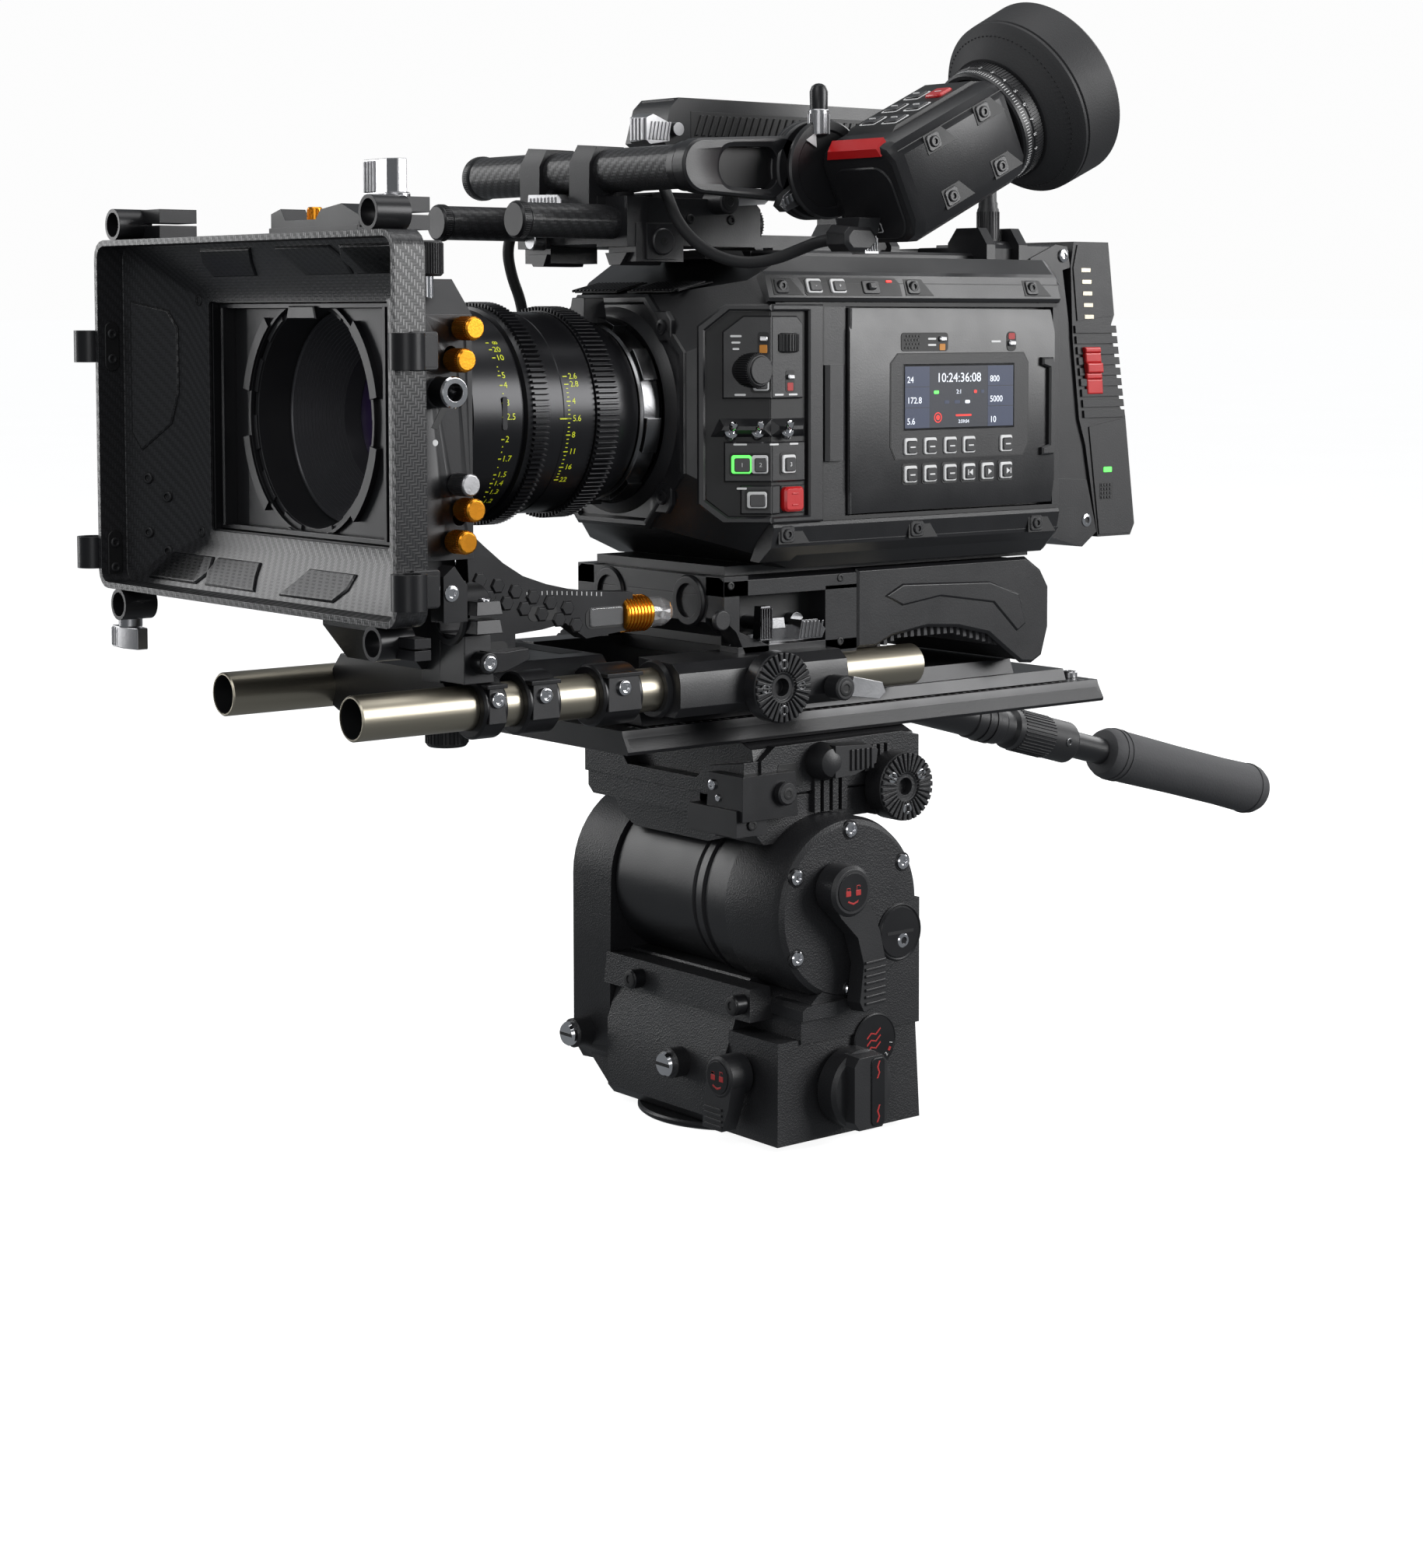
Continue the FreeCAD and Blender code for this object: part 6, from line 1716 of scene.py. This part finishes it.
def build_dovetail():
    """The dovetail plate with its millimetre scale and stop screw."""
    mould = Mould("anodised")
    section = [(-48.5, -17.7), (48.5, -17.7), (49.2, -20), (53, -26.6), (52.4, -28), (-52.4, -28),
               (-53, -26.6), (-49.2, -20)]
    mould.prism("xz", section, (138.5, 432.4))
    # Dark strip along the middle: painted shade in the groove.
    mould.use("shell_dark_and_painted_shade").box((-7, 7), (158, 412), (-18, -17.6))
    mould.use("shell").plate([(140.5, 0.5), (430.4, 0.5), (430.4, 6.6), (140.5, 6.6)], 0.15, 0.05,
                             (53, 0, -26.9), (0, 1, 0), (-0.5, 0, 0.87))
    mould.use("white")
    for step in range(57):
        long = step % 5 == 0
        y = 150 + step * 5
        mould.plate([(46.2 - (3.4 if long else 1.8), y - 0.15), (46.2, y - 0.15), (46.2, y + 0.15),
                     (46.2 - (3.4 if long else 1.8), y + 0.15)], 0.08, 0, (0, 0, -17.7), (1, 0, 0),
                    (0, 1, 0))
        if long:
            mould.text(str(20 - step // 5), (39.6, y, -17.7), (0, 1, 0), (-1, 0, 0), 2.6)
    mould.use("silver").cylinder("z", (34, 427), (-18, -14.6), 4.2, bevel=0.5)
    mould.screw((34, 427, -14.6), (0, 0, 1), 2.6, material="steel", proud=0.3)
    mould.piece("dovetail_plate", bevel=0.5)


def build_plate():
    """Bridge plate: upper block with rod bores and lever windows, rod housing, rosettes and foot."""
    mould = Mould("shell")
    mould.prism("xz", [(-55, 38), (55, 38), (55, 45), (52, 46.7), (-52, 46.7), (-55, 45)], (190, 268))
    for side in (-1, 1):
        mould.prism("yz", [(190, 47), (190, 28), (197, 22), (202, 12), (216, 10), (216, 15), (199, 22),
                           (199, 38), (204, 38), (204, 47)], sorted((side * 42, side * 55)))
        mould.box(sorted((side * 42, side * 55)), (249, 268), (10, 40))
        mould.box(sorted((side * 42, side * 55)), (198, 268), (8, 15.2))
        mould.lathe("y", (side * 30, 35), [(188.6, 7.7), (188.6, 10.8), (189.6, 11.8), (196, 11.8),
                                           (196, 7.7)], 64)
        # Dark lining inside the rod bore: painted shade.
        mould.use("shell_dark_and_painted_shade").lathe("y", (side * 30, 35), [(190, 7.7), (240, 7.7), (240, 0)], 48,
                                      closed=False)
        mould.use("shell")
        housing = [(side * 40, 13), (side * 64, 12), (side * 69, 8), (side * 70, 3), (side * 70, -7),
                   (side * 66, -11.5), (side * 40, -11.5)]
        mould.prism("xz", housing, (154, 250))
        mould.lathe("y", (side * ROD_X, 0), [(151.6, 9.6), (151.6, 12.2), (154.4, 13), (154.4, 9.6)], 64)
        rosette(mould, side, (205, -1), (69, 79), 15.9, 4)
    mould.prism("yz", [(190, 38), (190, 26), (204, 14), (204, 8), (262, 8), (262, 38)], (-42, 42))
    mould.box((-43, 43), (154, 248), (-11.6, -4))
    # Dark block behind the lever windows: painted shade inside the block.
    mould.use("shell_dark_and_painted_shade").box((-43, 43), (198, 250), (15, 38))
    mould.use("plastic").lathe("x", (188.6, 28), [(54, 0), (54, 4.6), (56, 4.6), (56.4, 4), (56.4, 0)], 32,
                               closed=False)
    mould.use("steel").box((43, 47), (200, 248), (15.2, 19.5))
    mould.box((43, 50), (220, 240), (15.2, 23))
    mould.use("shell")
    for y, z in ((194, 43), (258, 43), (258, 14)):
        mould.screw((55, y, z), (1, 0, 0), 1.9, material="shell_dark_and_painted_shade", proud=0.4)
    mould.use("anodised").prism("xz", [(-44, -17.3), (44, -17.3), (42, -11.6), (-42, -11.6)], (153, 415))
    mould.box((-40, 40), (250, 383), (-11.8, -4.4), 1.4)
    mould.piece("bridge_plate", bevel=0.7)


def build_plate_controls():
    """Slide lock lever, release button and rod clamp lever."""
    mould = Mould("steel")
    mould.cylinder("x", (212, 25), (42, 58), 3.2)
    mould.box((52, 58), (208.6, 215.4), (17.6, 33), 0.6)
    mould.ridges(5, "y", 1.4, (57.6, 58.8), (208.8, 209.5), (18.4, 32.2))
    mould.box((50, 57), (212, 224), (22.4, 27.4), 0.5)
    mould.piece("slide_lock_lever", bevel=0.4)
    mould = Mould("steel")
    mould.cylinder("x", (238, 24), (41.5, 48), 4)
    mould.prism("yz", [(232, 16.6), (246, 16.6), (248, 20.6), (243, 25.4), (234, 25.4)], (47, 56.4))
    for step in range(6):
        y = 233 + step * 2.2
        mould.plate([(y, 17.2), (y + 1.2, 17.2), (y + 2.6, 24.8), (y + 1.4, 24.8)], 0.7, 0.2, (56.4, 0, 0))
    mould.piece("slide_release_button", bevel=0.3)
    mould = Mould("plastic")
    mould.cylinder("x", (240, -4), (70.4, 80), 5.6, bevel=0.8)
    mould.screw((80, 240, -4), (1, 0, 0), 3.6, material="shell_dark_and_painted_shade", proud=0.4)
    mould.use("silver").prism("yz", [(243, -8), (262, -11), (266, -8), (264, -3), (246, 1)], (73, 78), 0.5)
    mould.piece("rod_clamp_lever", bevel=0.4)


def build_pad():
    """The shoulder pad: moulded sides with a raised bevelled panel, and cushion ribs under the arch."""
    mould = Mould("rubber")
    outline = [(269.4, 45.6), (376, 45.6), (386, 39), (391, 31), (391, 12), (387, -1), (381, -4),
               (374, -3.4), (366, 2), (352, 12), (332, 16.6), (312, 18), (290, 15), (280, 11), (269.4, 11)]
    mould.prism("yz", outline, (-53.6, 53.6))
    mould.use("shell")
    for side in (-1, 1):
        home = facing(side, 53.4)
        panel = [(side * y, z) for y, z in shrunk(outline, 1.2)][::side]
        mould.plate(panel, 1.6, 1.4, *home)
        band = [(284, 33), (296, 39), (352, 37), (372, 30), (377, 14), (370, 10), (354, 25), (320, 30),
                (296, 27)]
        mould.plate([(side * y, z) for y, z in band][::side], 2.4, 1.6, *home)
    mould.use("grip")
    for step in range(22):
        y = 284 + step * 4.2
        top = 17.4 - max(0, y - 330) * 0.26 - max(0, 296 - y) * 0.35
        mould.box((-51, 51), (y, y + 2.4), (top - 5, top + 2), 0.5)
    pad = mould.piece("shoulder_pad", bevel=0.9)


def build_rods():
    """Two titanium tubes, lined inside with a dark sleeve as painted shade."""
    mould = Mould("titanium")
    for side in (-1, 1):
        profile = [(0.6, 9.5), (304.2, 9.5), (304.8, 9), (304.8, 8.4), (0, 8.4), (0, 9)]
        mould.lathe("y", (side * ROD_X, 0), profile, 128)
        # Dark sleeve inside the tube: painted shade.
        mould.use("shell_dark_and_painted_shade").lathe("y", (side * ROD_X, 0), [(0.6, 8.4), (300, 8.38), (300, 8.3),
                                                               (0.6, 8.3)], 64)
        mould.use("titanium")
    mould.piece("support_rods", bevel=0)


def build_bracket():
    """The bracket on the rods: stepped bands, cross beam, split tube clamp, riser and under knob."""
    mould = Mould("anodised")
    for side, spans in ((1, ((56, 68), (78, 95), (117, 138))), (-1, ((67, 95), (117, 138)))):
        for low, high in spans:
            mould.lathe("y", (side * ROD_X, 0), [(low, 9.6), (low, 12.6), (low + 1, 13.5), (high - 1, 13.5),
                                                 (high, 12.6), (high, 9.6)], 80)
            mould.box(sorted((side * 50.6, side * 66)), (low + 1, high - 1), (8.6, 10.4))
            mould.box(sorted((side * 56, side * 66)), (low + 1.5, high - 1.5), (-6, 9), 1)
    for y, z in ((62, 4), (86, 4), (127, 4)):
        mould.screw((66, y, z), (1, 0, 0), 3.4, material="chrome", proud=1.2)
    mould.prism("xz", [(-45, -8), (-40, -10), (40, -10), (45, -8), (45, 8), (38, 15.4), (-38, 15.4),
                       (-45, 8)], (50, 136))
    for y in (58, 96, 128):
        # Dark patch on the cross beam: painted shade in its slot.
        mould.use("shell_dark_and_painted_shade").box((-26, 26), (y - 6, y + 6), (15, 15.6))
    mould.use("anodised").prism("yz", [(34, 64), (34, 30), (46, 15), (63, 15), (63, 64)], (-26, 33.5))
    mould.box((30, 44), (48, 62.9), (10, 52), 1)
    mould.box((38, 62), (48, 62.9), (11, 31), 1)
    mould.lathe("y", (50, 38.9), [(48, 9.6), (48, 12.2), (49, 13), (62, 13), (62.9, 12.2), (62.9, 9.6)], 80,
                start=4, sweep=352)
    mould.box((60, 70), (49, 62), (39.9, 45.6), 0.8)
    mould.box((60, 70), (49, 62), (32.2, 37.9), 0.8)
    mould.screw((66, 55.5, 45.6), (0, 0, 1), 2.8, material="chrome", proud=1)
    mould.use("plastic").knob("z", (0, 80), (-24, -9), 9, 1, (-22.5, -14), 30, 0.5)
    mould.piece("rod_bridge", bevel=0.6)
    mould = Mould("anodised")
    mould.cylinder("x", (56, 20), (58.3, 69), 4.6, bevel=0.5)
    mould.screw((69, 56, 20), (1, 0, 0), 3.4, material="chrome", proud=1)
    mould.prism("yz", [(55, 15), (66, 15.6), (77, 20), (76.4, 25), (64, 24.6), (55, 25)], (62.6, 68.2), 0.6)
    mould.piece("bridge_lever", bevel=0.4)


def build_cradle():
    """The crescent under the lens: flowing top edge, hexagon relief, rod-shaped slots drawn as dark plates of
    painted shade, and a small scale.
    """
    mould = Mould("anodised")
    outline = [(31, 92), (40, 87.5), (50, 81.5), (60, 75), (70, 66.5), (80, 58.5), (90, 52.5), (102, 48.4),
               (114, 45.6), (128, 43.6), (148, 42.4), (148, 26), (123, 23.5), (112, 31), (100, 29),
               (86, 28), (86, 15.6), (64, 15.6), (62, 62), (50, 64), (31, 68)]
    for side in (-1, 1):
        mould.prism("yz", outline, sorted((side * 35, side * 44)))
        home = facing(side, 44)
        # Dark ovals for the slots: painted shade.
        mould.use("shell_dark_and_painted_shade")
        for y, z, wide, tall in ((134.5, 32, 24, 9), (100, 36, 15, 6.6), (76, 22, 12, 7)):
            mould.plate(oval((side * y, z), (wide, tall), 3), 0.2, 0, *home)
        mould.use("anodised")
        for column in range(6):
            for row in range(2):
                y, z = 68 + column * 9 + row * 4.5, 52 - column * 2.9 - row * 7.6
                hexagon = [(side * y + 3.6 * math.cos(math.radians(60 * corner)),
                            z + 3.6 * math.sin(math.radians(60 * corner))) for corner in range(6)]
                mould.plate(hexagon, 0.9, 0.6, *home)
        mould.use("white")
        for step in range(16):
            mould.plate(oval((side * (92 + step * 2.6), 44.6 - max(0, step - 4) * 0.2), (0.4, 1.8), 0.1, 1),
                        0.12, 0, *home)
        mould.use("anodised")
    mould.box((-36, 36), (112, 122), (31.5, 43))
    mould.box((-36, 36), (63, 72), (15.6, 58), 1)
    mould.piece("lens_cradle", bevel=0.8)
    mould = Mould("amber")
    mould.box((36, 43.4), (124, 143), (28.6, 36.4), 0.6)
    mould.cylinder("y", (40, 32.5), (143, 158), 7.6, bevel=0.8)
    for step in range(7):
        along = 144.6 + step * 1.8
        mould.lathe("y", (40, 32.5), [(along, 7.4), (along, 8.1), (along + 0.9, 8.1), (along + 0.9, 7.4)], 48)
    mould.use("white").text("1", (43.4, 134, 32.5), (0, 1, 0), (0, 0, 1), 4)
    mould.use("clear").lathe("y", (40, 32.5), [(158, 6.8), (166, 6.6), (170, 4.4), (171, 0)], 48,
                             closed=False)
    mould.plate(oval((133.5, 32.5), (18, 8.4), 1.4), 0.9, 0.5, (44, 0, 0))
    mould.piece("eject_slider", bevel=0.25)


def build_antennas():
    """Two stub antennas with knurled feet."""
    mould = Mould("plastic")
    for x in (-45, 45):
        mould.lathe("z", (x, 359.5), [(190, 0), (190, 8.6), (197, 8.6), (198, 5.4), (213, 5.2), (214, 4.6),
                                      (216, 4.6), (217, 4.1), (234, 4), (235, 3.6), (236, 4), (245, 3.9),
                                      (248.6, 2.6), (250, 0)], 40, closed=False)
        mould.teeth("z", (x, 359.5), (199, 212), 5.2, 24, 0.3)
    mould.piece("antennas", bevel=0.1)


# ---------------------------------------------------------------- all pieces

MADE = (build_hood, build_stage, build_donut, build_stage_knobs, build_flag_clamps, build_focus_ring,
        build_iris_ring, build_barrel, build_mount_ring, build_body, build_controls, build_door,
        build_battery, build_handle, build_finder_mount, build_finder_rods, build_arm, build_finder_body,
        build_finder_rings, build_finder_keys, build_cable, build_yoke, build_head_base,
        build_head_controls, build_platform, build_platform_clamp, build_pan_bar, build_dovetail,
        build_plate, build_plate_controls, build_pad, build_rods, build_bracket, build_cradle,
        build_antennas)
for build in MADE:
    build()


# ---------------------------------------------------------------- camera, floor and light

def light(name, place, target, size, power, colour=(1, 1, 1)):
    """A rectangular area light at a place, turned to a target."""
    lamp = bpy.data.lights.new(name, "AREA")
    lamp.shape = "RECTANGLE"
    lamp.size, lamp.size_y = size
    lamp.energy = power
    lamp.color = colour
    item = bpy.data.objects.new(name, lamp)
    item.location = place
    item.rotation_euler = (Vector(target) - Vector(place)).to_track_quat("-Z", "Y").to_euler()
    bpy.context.scene.collection.objects.link(item)
    item.visible_camera = False


FLOOR_SIZE = 300


def pale_floor():
    """A near-white floor that is lit evenly out to the horizon."""
    material = surface("pale_floor", (0.4, 0.4, 0.4), 0.8, grain=40, bump=0.02, patches=2)
    shader = material.node_tree.nodes["Principled BSDF"]
    shader.inputs["Emission Color"].default_value = (1, 1, 1, 1)
    shader.inputs["Emission Strength"].default_value = 0.9
    return material


def studio_world():
    """A white backdrop to the eye, and a dim grey room to the object."""
    world = bpy.data.worlds.new("Studio")
    world.use_nodes = True
    tree = world.node_tree
    room = tree.nodes["Background"]
    room.inputs["Color"].default_value = (0.9, 0.95, 1.0, 1)
    room.inputs["Strength"].default_value = 0.2
    paper = tree.nodes.new("ShaderNodeBackground")
    paper.inputs["Color"].default_value = (0.98, 0.98, 0.98, 1)
    seen = tree.nodes.new("ShaderNodeLightPath")
    choice = tree.nodes.new("ShaderNodeMixShader")
    tree.links.new(seen.outputs["Is Camera Ray"], choice.inputs["Fac"])
    tree.links.new(room.outputs["Background"], choice.inputs[1])
    tree.links.new(paper.outputs["Background"], choice.inputs[2])
    tree.links.new(choice.outputs["Shader"], tree.nodes["World Output"].inputs["Surface"])
    return world


def build_studio():
    """The camera at the photograph's viewing angle, a pale floor, and large soft lights."""
    scene = bpy.context.scene
    lens = bpy.data.cameras.new("Camera")
    lens.sensor_fit = "VERTICAL"
    lens.sensor_height = 36
    lens.lens = 68.77
    lens.shift_x = -0.0542
    lens.shift_y = -0.1647
    viewer = bpy.data.objects.new("Camera", lens)
    azimuth, pitch = math.radians(50.05), math.radians(3.99)
    viewer.location = ORIGIN + Vector((1087.5, -632.9, 162.0)) * MM
    viewer.rotation_euler = (math.pi / 2 - pitch, 0, azimuth)
    scene.collection.objects.link(viewer)
    scene.camera = viewer

    bm = bmesh.new()
    bmesh.ops.create_grid(bm, x_segments=1, y_segments=1, size=FLOOR_SIZE)
    mesh = bpy.data.meshes.new("Floor")
    bm.to_mesh(mesh)
    bm.free()
    floor = bpy.data.objects.new("Floor", mesh)
    floor.location.z = CAD_BOX[0][2]
    mesh.materials.append(pale_floor())
    scene.collection.objects.link(floor)
    floor.visible_glossy = False
    floor.visible_diffuse = False

    middle = (0, 0, 0.28)
    light("Key", (0.9, -1.9, 1.9), middle, (1.5, 1.0), 14)
    light("Side", (1.95, 1.6, 1.1), middle, (1.4, 1.3), 62)
    light("Top", (0.1, 0.2, 2.3), middle, (1.2, 2.2), 20)
    light("Fill", (1.7, -1.5, 0.5), middle, (0.9, 0.9), 5)
    light("Left", (-1.9, -1.0, 0.9), middle, (0.6, 1.8), 18)
    light("Back", (-0.5, 2.2, 1.3), middle, (1.6, 1.0), 18)
    scene.world = studio_world()
    scene.view_settings.view_transform = "Standard"


build_studio()
